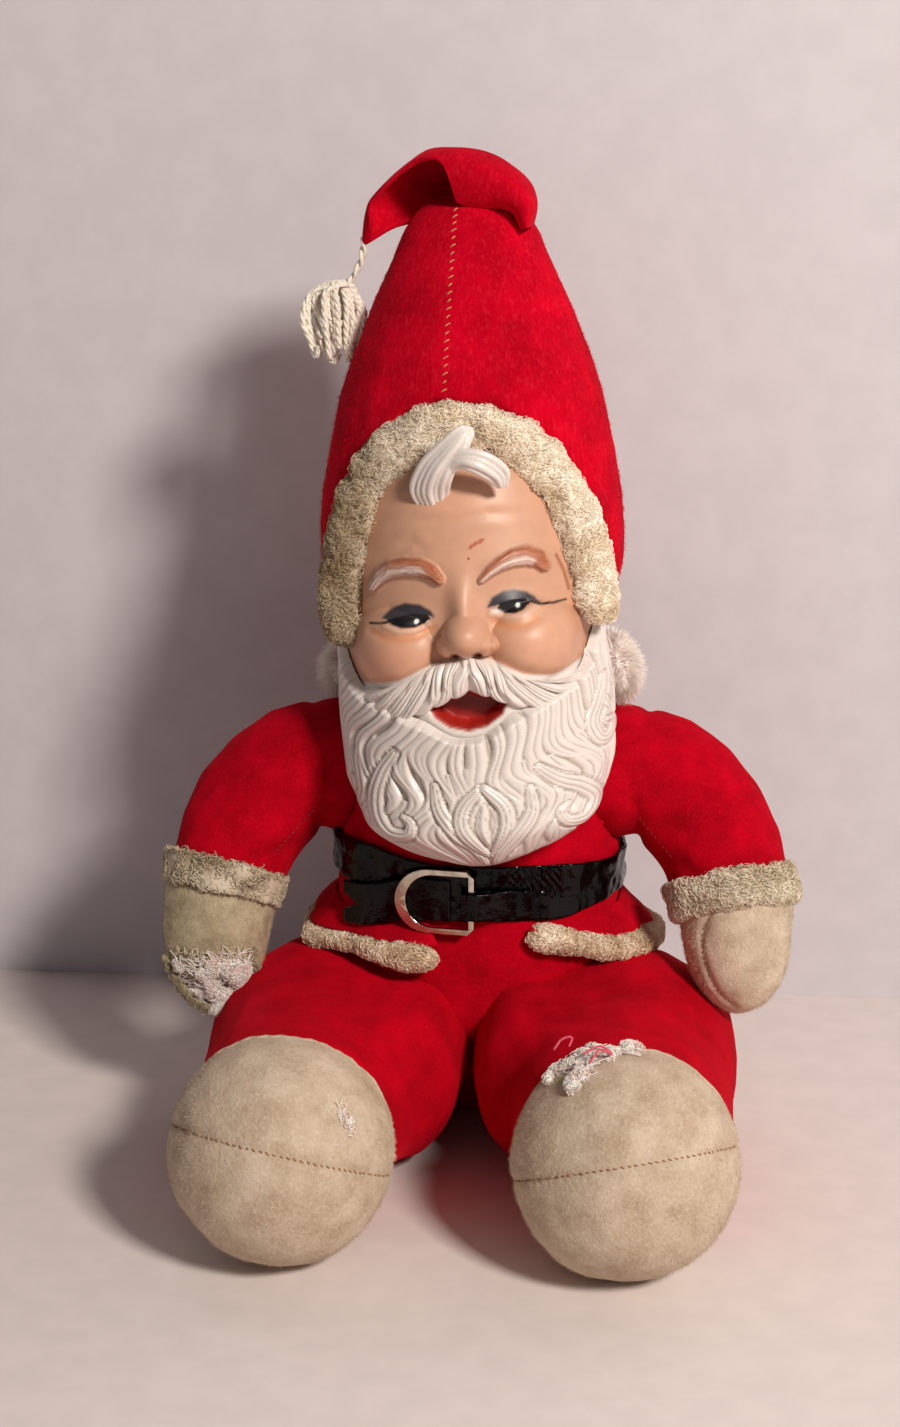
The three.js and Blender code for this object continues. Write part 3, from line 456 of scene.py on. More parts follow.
@dataclass(frozen=True)
class Pile:
    """Pile on a cloth: fibres that curl back, or straight hairs that lean."""

    count: int
    radius: float = 1.2
    thickness: float = 0.2
    length: float = 0.0
    lean: tuple[float, float, float] = (0.0, 0.0, -0.6)
    tuft: float = 9.0
    seed: int = 1

    def curls(self, spots: Points, normals: Points) -> list[Strand]:
        """Small open curls that stand on the cloth, turned alike in each tuft."""
        rng = np.random.default_rng(self.seed)
        made = []
        turns = np.linspace(-0.8, 3.6, 6)
        swirl = np.stack([grain(spots, self.tuft * 0.5, self.seed + i) for i in range(3)], axis=1)
        for spot, normal, turn in zip(spots, normals, swirl):
            side = np.cross(normal, turn * 1.6 + rng.normal(size=3) * 0.7)
            side /= np.linalg.norm(side) + 1e-9
            across = np.cross(normal, side)
            r = self.radius * rng.uniform(0.6, 1.3)
            drift = rng.uniform(-0.4, 0.4)
            tilt = normal * 0.8 + across * rng.uniform(-0.6, 0.6)
            loop = spot + normal * r * 0.5 + r * (
                np.outer(np.cos(turns), side) + np.outer(np.sin(turns), tilt)
                + np.outer(turns * drift, across)
            )
            made.append(Strand(loop, self.thickness * np.linspace(1.2, 0.5, 6)))
        return made

    def hairs(self, spots: Points, normals: Points) -> list[Strand]:
        """Straight tapered hairs, in tufts that lean together."""
        rng = np.random.default_rng(self.seed)
        lean = np.array(self.lean)
        swirl = np.stack([grain(spots, self.tuft, self.seed + i) for i in range(3)], axis=1) * 0.5
        made = []
        for spot, normal, turn in zip(spots, normals, swirl):
            way = normal * 0.8 + lean + turn + rng.normal(size=3) * 0.16
            way /= np.linalg.norm(way)
            long = self.length * rng.uniform(0.6, 1.1)
            bend = lean * 0.25 * long
            line = np.array([spot - normal * min(1.0, 0.2 * long), spot + way * long * 0.5 + bend * 0.2,
                             spot + way * long + bend])
            made.append(Strand(line, self.thickness * np.array([1.0, 0.8, 0.15])))
        return made

    def grown(self, name: str, base: bpy.types.Object, keep: Field | None = None) -> bpy.types.Object:
        """The pile by itself, grown on a base.

        Args:
            name: The piece's name.
            base: The cloth under the pile.
            keep: Gives each place above 0 where pile grows.

        Returns:
            The new object.
        """
        spots, normals = scattered(base, self.count, self.seed)
        if keep is not None:
            wanted = np.broadcast_to(keep(spots, normals), len(spots)) > 0
            spots, normals = spots[wanted], normals[wanted]
        lines = self.hairs(spots, normals) if self.length else self.curls(spots, normals)
        return strands(name, lines, flat=True)


def pile_on(name: str, base: bpy.types.Object, pile: Pile, keep: Field | None = None) -> bpy.types.Object:
    """Grows pile on a base and joins both."""
    return joined(name, pile.grown(name + "_pile", base, keep), base)


def stitches(name: str, line: Points, surface: Surface, spacing: float, length: float, radius: float,
             slant: float = 0.0) -> bpy.types.Object:
    """A row of thread stitches that lie on a skin.

    Args:
        name: The piece's name.
        line: The seam's places in millimetres.
        surface: The skin.
        spacing: From one stitch to the next.
        length: Of one stitch.
        radius: Of the thread.
        slant: How far a stitch's end stands beside the seam.

    Returns:
        The new object.
    """
    run = np.concatenate([[0], np.cumsum(np.linalg.norm(np.diff(line, axis=0), axis=1))])
    rows = []
    for i, at in enumerate(np.arange(spacing / 2, run[-1] - length, spacing)):
        shares = at + np.linspace(0, length, 5)
        spots = np.stack([np.interp(shares, run, line[:, k]) for k in range(3)], axis=1)
        on, normal = surface.nearest(spots)
        along = on[-1] - on[0]
        beside = np.cross(along / (np.linalg.norm(along) + 1e-9), normal[2])
        shift = slant * np.linspace(-0.5, 0.5, 5) * (1 if i % 2 else 0.7)
        lift = np.array([-0.5, 0.35, 0.6, 0.35, -0.5]) * radius * 1.6
        rows.append(Strand(on + normal * lift[:, None] + shift[:, None] * beside, np.full(5, radius)))
    return strands(name, rows, sides=1)


def paint(obj: bpy.types.Object, colours: np.ndarray) -> None:
    """Gives an object's vertices their linear colours, which its material reads as paint."""
    layer = obj.data.color_attributes.new(name="paint", type="FLOAT_COLOR", domain="POINT")
    rgba = np.column_stack([colours, np.ones(len(colours))])
    layer.data.foreach_set("color", np.clip(rgba, 0, 1).astype(np.float32).ravel())


def hollows(obj: bpy.types.Object, rounds: int = 2) -> np.ndarray:
    """How deep each vertex lies between its neighbours, in millimetres, negative on ridges."""
    edges = np.empty(len(obj.data.edges) * 2, np.int32)
    obj.data.edges.foreach_get("vertices", edges)
    a, b = edges.reshape(-1, 2).T
    points, normals = places(obj), places(obj, "normal")
    near = points.copy()
    for _ in range(rounds):
        total, times = np.zeros_like(near), np.zeros(len(near))
        for p, q in ((a, b), (b, a)):
            np.add.at(total, p, near[q])
            np.add.at(times, p, 1)
        near = total / np.maximum(times, 1)[:, None]
    return np.einsum("ij,ij->i", near - points, normals)


class Recipe:
    """A material's nodes, to which one call adds a node with its settings and links."""

    def __init__(self, name: str) -> None:
        """Starts an empty material."""
        self.material = bpy.data.materials.new(name)
        self.material.use_nodes = True
        self.tree = self.material.node_tree
        self.tree.nodes.clear()

    def add(self, kind: str, settings: dict[str, Any] | None = None,
            inputs: dict[str | int, Any] | None = None) -> bpy.types.Node:
        """Adds one node.

        Args:
            kind: The node's type.
            settings: Its properties; stops are a colour ramp's places and colours.
            inputs: Sockets by name or number, each a value or another node's output.

        Returns:
            The new node.
        """
        node = self.tree.nodes.new(kind)
        for key, value in (settings or {}).items():
            if key == "stops":
                ramp = node.color_ramp.elements
                for _ in range(len(value) - 2):
                    ramp.new(0.5)
                for element, (place, colour) in zip(ramp, value):
                    element.position, element.color = place, colour
            else:
                setattr(node, key, value)
        for key, value in (inputs or {}).items():
            if isinstance(value, bpy.types.NodeSocket):
                self.tree.links.new(value, node.inputs[key])
            else:
                node.inputs[key].default_value = value
        return node

    def done(self, shader: bpy.types.Node) -> bpy.types.Material:
        """Ends the material with its shader."""
        self.add("ShaderNodeOutputMaterial", None, {"Surface": shader.outputs[0]})
        return self.material

    def principled(self, inputs: dict[str | int, Any]) -> bpy.types.Material:
        """Ends the material with one general shader that has these inputs."""
        return self.done(self.add("ShaderNodeBsdfPrincipled", None, inputs))

    def place(self) -> bpy.types.NodeSocket:
        """Places in the doll's frame."""
        return self.add("ShaderNodeTexCoord").outputs["Object"]

    def stretched(self, place: bpy.types.NodeSocket, scale: Sequence[float]) -> bpy.types.NodeSocket:
        """Places scaled along each axis."""
        return self.add("ShaderNodeMapping", None, {"Vector": place, "Scale": tuple(scale)}).outputs[0]

    def noise(self, place: bpy.types.NodeSocket, size: float, detail: float,
              roughness: float = 0.5) -> bpy.types.NodeSocket:
        """Cloudy noise from 0 to 1.

        Args:
            place: Where.
            size: Width of its clouds in millimetres.
            detail: How many finer layers it has.
            roughness: How strong these are.

        Returns:
            The noise.
        """
        return self.add("ShaderNodeTexNoise", None, {
            "Vector": place, "Scale": 1 / (size * MM), "Detail": detail, "Roughness": roughness}).outputs[0]

    def ramp(self, value: bpy.types.NodeSocket, *stops: tuple[float, str]) -> bpy.types.NodeSocket:
        """A colour for a value, from hex colours at some values."""
        colours = [(at, linear(code)) for at, code in stops]
        return self.add("ShaderNodeValToRGB", {"stops": colours}, {0: value}).outputs[0]

    def ranged(self, value: bpy.types.NodeSocket, low: float, high: float, begin: float = 0.0,
               end: float = 1.0) -> bpy.types.NodeSocket:
        """A value that goes from low to high while the given one goes from begin to end."""
        return self.add("ShaderNodeMapRange", None, {
            0: value, "From Min": begin, "From Max": end, "To Min": low, "To Max": high}).outputs[0]

    def mixed(self, share: Any, first: Any, second: Any, blend: str = "MIX") -> bpy.types.NodeSocket:
        """Two colours mixed by a share of the second."""
        return self.add("ShaderNodeMix", {"data_type": "RGBA", "blend_type": blend},
                        {0: share, 6: first, 7: second}).outputs[2]

    def bump(self, height: bpy.types.NodeSocket, strength: float, distance: float,
             normal: bpy.types.NodeSocket | None = None) -> bpy.types.NodeSocket:
        """Fine relief.

        Args:
            height: The relief's height, from 0 to 1.
            strength: How much of it shows.
            distance: The full height in metres.
            normal: Coarser relief under it.

        Returns:
            The changed normal.
        """
        inputs = {"Strength": strength, "Distance": distance, "Height": height}
        if normal is not None:
            inputs["Normal"] = normal
        return self.add("ShaderNodeBump", None, inputs).outputs[0]


@dataclass(frozen=True)
class Plush:
    """Short-pile knitted plush: dull, with a brushed nap that mottles and takes light at its edges."""

    name: str
    deep: str
    bright: str
    fleck: str
    nap: float = 0.9
    streak: float = 1.0
    mottle: float = 16.0
    flecks: float = 0.25
    sheen: float = 0.3
    relief: float = 0.5

    def material(self) -> bpy.types.Material:
        """The plush's material."""
        r = Recipe(self.name)
        place = r.place()
        # The nap is drawn at least twice as coarse as the real half millimetre, so that it shows
        nap = r.noise(r.stretched(place, (1, 1, self.streak)), self.nap, 3.0, 0.7)
        tone = r.ramp(r.noise(place, self.mottle, 4.0, 0.6), (0.32, self.deep), (0.68, self.bright))
        spots = r.ranged(nap, 0.0, self.flecks, 0.5, 0.78)
        return r.principled({
            "Base Color": r.mixed(spots, tone, linear(self.fleck)), "Roughness": 0.95,
            "Sheen Weight": self.sheen, "Sheen Roughness": 0.4, "Sheen Tint": linear(self.fleck),
            "Specular IOR Level": 0.06, "Normal": r.bump(nap, self.relief, 0.0006)})


@dataclass(frozen=True)
class Fleece:
    """Looped acrylic pile: soft curls, painted lighter at their tops as a highlight and darker between them as shade,
    over random patches of soil.

    Dirt together with painted shade, if any, is thickest at its first place across the doll and ends at its second.
    """

    name: str
    light: str
    shade: str
    soil: str
    patch: float = 18.0
    # Span across the doll where the fleece darkens: dirt together with painted shade.
    dirt_and_shade: tuple[float, float] | None = None
    loop: float = 2.2
    # Tint of that darkening: dirt together with painted shade.
    dirt: str = "#a8977c"

    def material(self) -> bpy.types.Material:
        """The fleece's material."""
        r = Recipe(self.name)
        place = r.place()
        loops = r.noise(place, self.loop, 2.0)
        patches = r.noise(place, self.patch, 3.0)
        tone = r.ramp(patches, (0.3, self.soil), (0.5, self.shade), (0.66, self.light))
        # Painted highlight and shade: lighter where the loops' relief stands high, on the curls' tops, and darker
        # between them.
        colour = r.mixed(r.ranged(loops, 0.0, 0.55, 0.4, 0.75), tone, linear(self.light))
        # Darker across the doll towards the side away from the key lamp: dirt together with painted shade.
        if self.dirt_and_shade is not None:
            across = r.add("ShaderNodeSeparateXYZ", None, {0: place}).outputs[0]
            amount = r.ranged(across, 0.85, 0.0, self.dirt_and_shade[0] * MM, self.dirt_and_shade[1] * MM)
            colour = r.mixed(amount, colour, linear(self.dirt), "MULTIPLY")
        return r.principled({
            "Base Color": colour, "Roughness": 0.85, "Sheen Weight": 0.25, "Sheen Roughness": 0.4,
            "Specular IOR Level": 0.25, "Normal": r.bump(loops, 0.4, 0.0004)})


@dataclass(frozen=True)
class PaintedVinyl:
    """Rotation-moulded soft vinyl, airbrushed and satin: its paint is read from the piece."""

    name: str
    roughness: float = 0.46
    coat: float = 0.06
    glow: float = 0.06

    def material(self) -> bpy.types.Material:
        """The vinyl's material."""
        r = Recipe(self.name)
        place = r.place()
        coat = r.add("ShaderNodeAttribute", {"attribute_name": "paint"}).outputs[0]
        soil = r.ranged(r.noise(place, 7.0, 5.0), 0.93, 1.03, 0.3, 0.75)
        return r.principled({
            "Base Color": r.mixed(1.0, coat, soil, "MULTIPLY"), "Roughness": self.roughness,
            "Coat Weight": self.coat, "Coat Roughness": 0.3, "Subsurface Weight": self.glow,
            "Subsurface Radius": (0.9, 0.4, 0.25), "Subsurface Scale": 0.002,
            "Normal": r.bump(r.noise(place, 0.7, 2.0), 0.08, 0.0003)})


@dataclass(frozen=True)
class BlackVinyl:
    """Calendered black vinyl on cloth: glossy, with a fine grain and worn, duller creases."""

    name: str = "calendered_black_vinyl"

    def material(self) -> bpy.types.Material:
        """The belt's material."""
        r = Recipe(self.name)
        place = r.place()
        grains = r.add("ShaderNodeTexVoronoi", None, {"Vector": place, "Scale": 1 / (0.9 * MM)}).outputs[0]
        wear = r.noise(place, 6.0, 5.0)
        creases = r.bump(r.noise(place, 4.0, 4.0), 0.4, 0.0010)
        return r.principled({
            "Base Color": r.ramp(wear, (0.35, "#010101"), (0.75, "#060607")),
            "Roughness": r.ranged(wear, 0.07, 0.17), "Specular IOR Level": 0.2,
            "Normal": r.bump(grains, 0.25, 0.0002, creases)})


@dataclass(frozen=True)
class Nickel:
    """Nickel-plated steel, stamped: bright, with fine scratches and dull spots."""

    name: str = "plated_nickel"

    def material(self) -> bpy.types.Material:
        """The buckle's material."""
        r = Recipe(self.name)
        place = r.place()
        scratch = r.noise(r.stretched(place, (0.3, 1, 3)), 0.8, 5.0)
        return r.principled({
            "Base Color": r.ramp(r.noise(place, 5.0, 4.0), (0.35, "#c2b9aa"), (0.6, "#e6e1d8")),
            "Metallic": 1.0, "Roughness": r.ranged(scratch, 0.1, 0.32),
            "Normal": r.bump(scratch, 0.08, 0.0001)})


@dataclass(frozen=True)
class Thread:
    """Spun cotton or wool: matt, with its twist shown as fine bands."""

    name: str
    light: str
    shade: str
    twist: float = 0.8

    def material(self) -> bpy.types.Material:
        """The thread's material."""
        r = Recipe(self.name)
        plies = r.noise(r.place(), self.twist, 3.0)
        return r.principled({
            "Base Color": r.ramp(plies, (0.35, self.shade), (0.6, self.light)), "Roughness": 0.9,
            "Sheen Weight": 0.2, "Normal": r.bump(plies, 0.5, 0.0003)})


class Wardrobe:
    """All the doll's finishes, each made once."""

    def __init__(self) -> None:
        """Makes the finishes."""
        self.suit = Plush("red_suit_plush", "#9c0012", "#c4001d", "#ec1c38", nap=1.1, flecks=0.3).material()
        self.pants = Plush("red_trouser_plush", "#a40012", "#c8001c", "#f02038", nap=1.0, mottle=22,
                           flecks=0.3).material()
        self.hat = Plush("red_hat_plush", "#a60016", "#d20022", "#f2304a", nap=1.5, streak=0.25, mottle=20,
                         flecks=0.35).material()
        self.hand = Plush("tan_mitten_plush", "#b8a48c", "#dccbb4", "#eee3d2", nap=1.1, mottle=11, flecks=0.45,
                          sheen=0.15, relief=0.9).material()
        # A darker copy of the mitten plush for the hand on the side away from the key lamp: wear together with painted
        # shade.
        self.worn_shaded_hand = Plush("worn_shaded_mitten_plush", "#9c8c70", "#c6b799", "#e2d7bf", nap=1.1, mottle=9, flecks=0.45,
                               sheen=0.15, relief=0.9).material()
        self.foot = Plush("tan_foot_plush", "#b8a189", "#d4c1ab", "#eadfcf", nap=1.5, mottle=13, flecks=0.5,
                          sheen=0.15, relief=1.0).material()
        # The face trim and the cuffs darken towards the doll's right, away from the key lamp: dirt together with
        # painted shade.
        self.trim = Fleece("cream_face_fleece", "#fff7e8", "#f5e7d2", "#dcc5a2", patch=14, dirt_and_shade=(-54, -14)).material()
        self.cuff = Fleece("worn_cuff_fleece", "#f6eddc", "#e0d2ba", "#bfab8c", patch=14, dirt_and_shade=(-260, 40)).material()
        self.hem = Fleece("tan_hem_fleece", "#fdf0dc", "#e6d0b2", "#c4a67e", patch=12).material()
        self.collar = Fleece("white_collar_fur", "#fffdfa", "#f8f1ea", "#e8dcd2").material()
        self.face = PaintedVinyl("airbrushed_face_vinyl").material()
        self.hair = PaintedVinyl("moulded_hair_vinyl", roughness=0.33, coat=0.25, glow=0.04).material()
        self.belt = BlackVinyl().material()
        self.nickel = Nickel().material()
        self.yarn = Thread("cream_wool_yarn", "#fbf5ea", "#e0d3c0", 1.0).material()
        self.tan_thread = Thread("tan_cotton_thread", "#d9b27c", "#a87a4a").material()
        self.brown_thread = Thread("brown_cotton_thread", "#a8713f", "#7a4c28").material()
        self.red_thread = Thread("red_cotton_thread", "#8d0a18", "#5e0510").material()
        self.pink_thread = Thread("pink_cotton_thread", "#f0607a", "#c93a56").material()
        self.stuffing = Fleece("white_fibre_stuffing", "#fffdf8", "#faefe8", "#ecc8bf", patch=4).material()


@dataclass
class Doll:
    """What the sub-assemblies share."""

    wardrobe: Wardrobe

    def piece(self, obj: bpy.types.Object, body: Body, material: bpy.types.Material, slot: str,
              replaces: Sequence[str] = (), fill: float | None = None) -> bpy.types.Object:
        """Dresses a finished piece and fixes it to its body.

        Args:
            obj: The piece.
            body: The body that it moves with.
            material: Its finish.
            slot: The finish's slot; not used.
            replaces: The nodes that it stands for.
            fill: For a stuffed piece, how full it is; not used.

        Returns:
            The piece.
        """
        obj.data.materials.clear()
        obj.data.materials.append(material)
        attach(obj, body.value)
        if replaces:
            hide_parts(*replaces)
        LOG.info("%s: %d vertices", obj.name, len(obj.data.vertices))
        return obj

    @staticmethod
    def settled(obj: bpy.types.Object) -> None:
        """Flattens a stuffed piece where it rests on the floor."""
        p = places(obj)
        p[:, 2] = np.maximum(p[:, 2], 0.0)
        move_to(obj, p)

    def fluff(self, name: str, skin: Surface, spots: Points, reach: float, seed: int) -> bpy.types.Object:
        """Teased fibre stuffing that bulges out of a tear.

        Args:
            name: The piece's name.
            skin: The skin that it bulges from.
            spots: Middles of its tufts in millimetres.
            reach: How far fibres wander round a middle.
            seed: Which tangle.

        Returns:
            The stuffing.
        """
        rng = np.random.default_rng(seed)
        thick, thin = [], []
        for spot in skin.laid(spots, 0.4):
            walk = spot + np.cumsum(rng.normal(size=(9, 3)), axis=0) * reach * 0.28
            thick.append(Strand(skin.laid(walk, rng.uniform(0.2, 1.6, 9)), rng.uniform(1.2, 2.4, 9)))
        base = strands(name + "_mass", thick, 1)
        recast(base, 0.8, 4)
        sculpt(base, lumps(3.5, 0.7, seed))
        for spot in skin.laid(spots, 1.6):
            for _ in range(9):
                ends = spot + rng.normal(size=(3, 3)) * reach * 0.55
                line = flowing(np.vstack([ends, ends[:1] + rng.normal(size=3) * 1.5]), 14)
                thin.append(Strand(skin.laid(line, rng.uniform(0.8, 2.6)), np.full(14, 0.2)))
        pile = Pile(9000, radius=0.85, thickness=0.17, tuft=4, seed=seed + 1).grown(name + "_pile", base)
        return joined(name, strands(name + "_fibres", thin), pile, base)


@dataclass
class Trunk(Doll):
    """Jacket and seat, which are one stuffed body, with the trousers' centre seam."""

    voxel: float = 2.2

    def build(self) -> None:
        """Makes the trunk and its seams."""
        jacket = soft_form("jacket_and_seat", ["torso"], self.voxel, 9, 0.6)
        sculpt(
            jacket,
            lambda p, _: 2.4 * step(p[:, 2], 100, 80) * step(p[:, 2], 4, 20),
            lumps(26, 1.0, 3),
            crease([(-22, -60, 96), (-8, -60, 70), (2, -56, 40)], 4, 1.2),
            crease([(26, -60, 94), (12, -60, 68), (4, -56, 38)], 4, 1.2),
            crease([(-3, -62, 108), (-2, -62, 70), (1, -54, 28)], 1.1, 1.3),
            crease([(-66, -10, 140), (-58, -30, 128)], 4, 1.5),
            crease([(66, -10, 140), (58, -30, 128)], 4, 1.5),
            lumps(7, 0.18, 5),
        )
        p = places(jacket)
        tucked = step(p[:, 1], -4, -34) * step(p[:, 2], 66, 18)
        p[:, 1] += 24 * tucked
        p[:, 2] += 9 * tucked * step(p[:, 2], 30, 4)
        move_to(jacket, p)
        self.settled(jacket)
        self.piece(jacket, Body.TRUNK, self.wardrobe.suit, "red_plush", ["torso"], fill=0.85)


@dataclass
class Leg(Doll):
    """A stuffed leg with its round foot, sewn in at the ankle."""

    side: Side = Side.LEFT
    foot_radius: float = 45.0
    foot_middle: tuple[float, float, float] = (68.5, -142.0, 44.5)
    ankle_y: float = -128.0

    @property
    def body(self) -> Body:
        """The body that the leg moves with."""
        return Body.LEG_LEFT if self.side is Side.LEFT else Body.LEG_RIGHT

    def build(self) -> None:
        """Makes the leg, the foot and the foot's seams."""
        s, word = self.side.value, self.side.word
        leg = soft_form(f"trouser_leg_{word}", [f"leg_{word}"], 2.2, 9, 0.8)
        sculpt(
            leg,
            lambda p, _: 2.0 * step(p[:, 1], -70, -20) * step(p[:, 2], 10, 30),
            lambda p, n: 11.5 * step(p[:, 0] * s, 46, 20) * step(p[:, 1], -98, -66) * step(p[:, 2], 2, 16)
            * step(-n[:, 0] * s, 0.1, 0.7),
            lumps(30, 1.3, 7 + s),
            crease([(s * 100, -20, 84), (s * 70, -60, 88), (s * 34, -80, 66)], 7, 1.3),
            crease([(s * 20, -40, 60), (s * 30, -70, 76), (s * 48, -92, 84)], 5, 1.4),
            crease([(s * 16, -50, 30), (s * 28, -92, 56), (s * 44, -112, 76)], 4, 1.1),
            lumps(8, 0.2, 11 + s),
        )
        self.settled(leg)
        self.piece(leg, self.body, self.wardrobe.pants, "red_plush", [f"leg_{word}"], fill=0.85)
        self.foot()

    def seam_plane(self) -> tuple[np.ndarray, np.ndarray]:
        """The foot's middle and the normal of the seam that halves it."""
        s = self.side.value
        turn = Euler((math.radians(-25), math.radians(-s * 11), 0), "YXZ").to_matrix()
        middle = np.array([s * self.foot_middle[0], *self.foot_middle[1:]])
        return middle, np.array(turn @ Vector((0, 0, 1)))

    def foot(self) -> None:
        """Makes the round foot, its middle seam and the overlocked edge at the ankle."""
        s, word = self.side.value, self.side.word
        nodes = [f"foot_upper_{word}", f"foot_sole_{word}"]
        foot = soft_form(f"foot_{word}", nodes, 1.8, 10, 0.9)
        middle, normal = self.seam_plane()
        sculpt(
            foot,
            lambda p, _: -1.1 * np.exp(-((((p - middle) @ normal) / 1.3) ** 2)),
            lambda p, _: 0.2 * np.sin(p[:, 0] * 2.2) * np.exp(-((((p - middle) @ normal) / 2.6) ** 2)),
            lumps(20, 0.9, 17 + s),
            lumps(6, 0.25, 19 + s),
        )
        self.settled(foot)
        self.piece(foot, self.body, self.wardrobe.foot, "cream_plush", nodes, fill=0.95)
        nap = Pile(9000, thickness=0.07, length=1.3, lean=(0, 0, -0.5), tuft=6, seed=81 + s)
        fibres = nap.grown(f"foot_nap_{word}", foot, lambda p, n: (n[:, 1] < 0.3) & (p[:, 1] < self.ankle_y - 1)
                           & (p[:, 2] > 2))
        self.piece(fibres, self.body, self.wardrobe.foot, "cream_plush")
        skin = Surface(foot)
        across = np.cross(normal, (0, 1, 0))
        across /= np.linalg.norm(across)
        ahead = np.cross(across, normal)
        ahead *= -np.sign(ahead[1])
        turns = np.radians(np.linspace(-86, 86, 90))
        line = skin.round(middle, np.outer(np.sin(turns), across) + np.outer(np.cos(turns), ahead))
        seam = stitches(f"foot_seam_{word}", line, skin, 2.7, 1.5, 0.26, slant=0.9)
        self.piece(seam, self.body, self.wardrobe.brown_thread, "yarn")
        turns = np.radians(np.linspace(-8, 188, 90))
        radius = math.sqrt(self.foot_radius**2 - (self.ankle_y - middle[1]) ** 2) + 1
        edge = np.stack([middle[0] + radius * np.cos(turns), np.full(90, self.ankle_y - 1.5),
                         middle[2] + radius * np.sin(turns)], axis=1)
        wavy = edge + np.array([0, 1.0, 0]) * np.sin(np.arange(90) * 1.7)[:, None]
        thread = Strand(skin.laid(wavy, 0.1), 0.95 + 0.3 * np.sin(np.arange(90) * 1.7))
        rim = strands(f"ankle_edge_{word}", [thread], 1)
        self.piece(rim, self.body, self.wardrobe.foot, "cream_plush")
        if self.side is Side.LEFT:
            self.torn_toe(skin)
        else:
            self.worn_spot(skin)

    def torn_toe(self, skin: Surface) -> None:
        """The hole at the top of this foot, with stuffing and a pink thread."""
        spots = np.array([(36, -136, 90), (43, -140, 92), (51, -142, 93), (60, -140, 92), (68, -136, 89),
                          (46, -134, 96), (56, -133, 96), (50, -149, 91)], float)
        tuft = self.fluff("foot_stuffing", skin, spots, 6.6, 8)
        self.piece(tuft, self.body, self.wardrobe.stuffing, "cream_fleece")
        loops = [
            flowing([(54, -152, 91), (58, -150, 96), (63, -147, 93), (58, -144, 95), (52, -147, 93)], 24),
            flowing([(40, -140, 91), (43, -139, 95), (47, -139, 96), (46, -141, 93)], 16),
        ]
        pink = strands("foot_pink_thread", [Strand(line, np.full(len(line), 0.45)) for line in loops], 1)
        self.piece(pink, self.body, self.wardrobe.pink_thread, "yarn")

    def worn_spot(self, skin: Surface) -> None:
        """A small rubbed tuft on this foot."""
        rng = np.random.default_rng(9)
        spots = np.array([-33.0, -170.0, 76.0]) + rng.normal(size=(70, 3)) * (1.6, 2.0, 4.5)
        on, normal = skin.nearest(spots)
        tuft = strands("foot_worn_tuft", Pile(70, radius=0.9, thickness=0.2, seed=3).curls(on, normal))
        self.piece(tuft, self.body, self.wardrobe.stuffing, "cream_fleece")


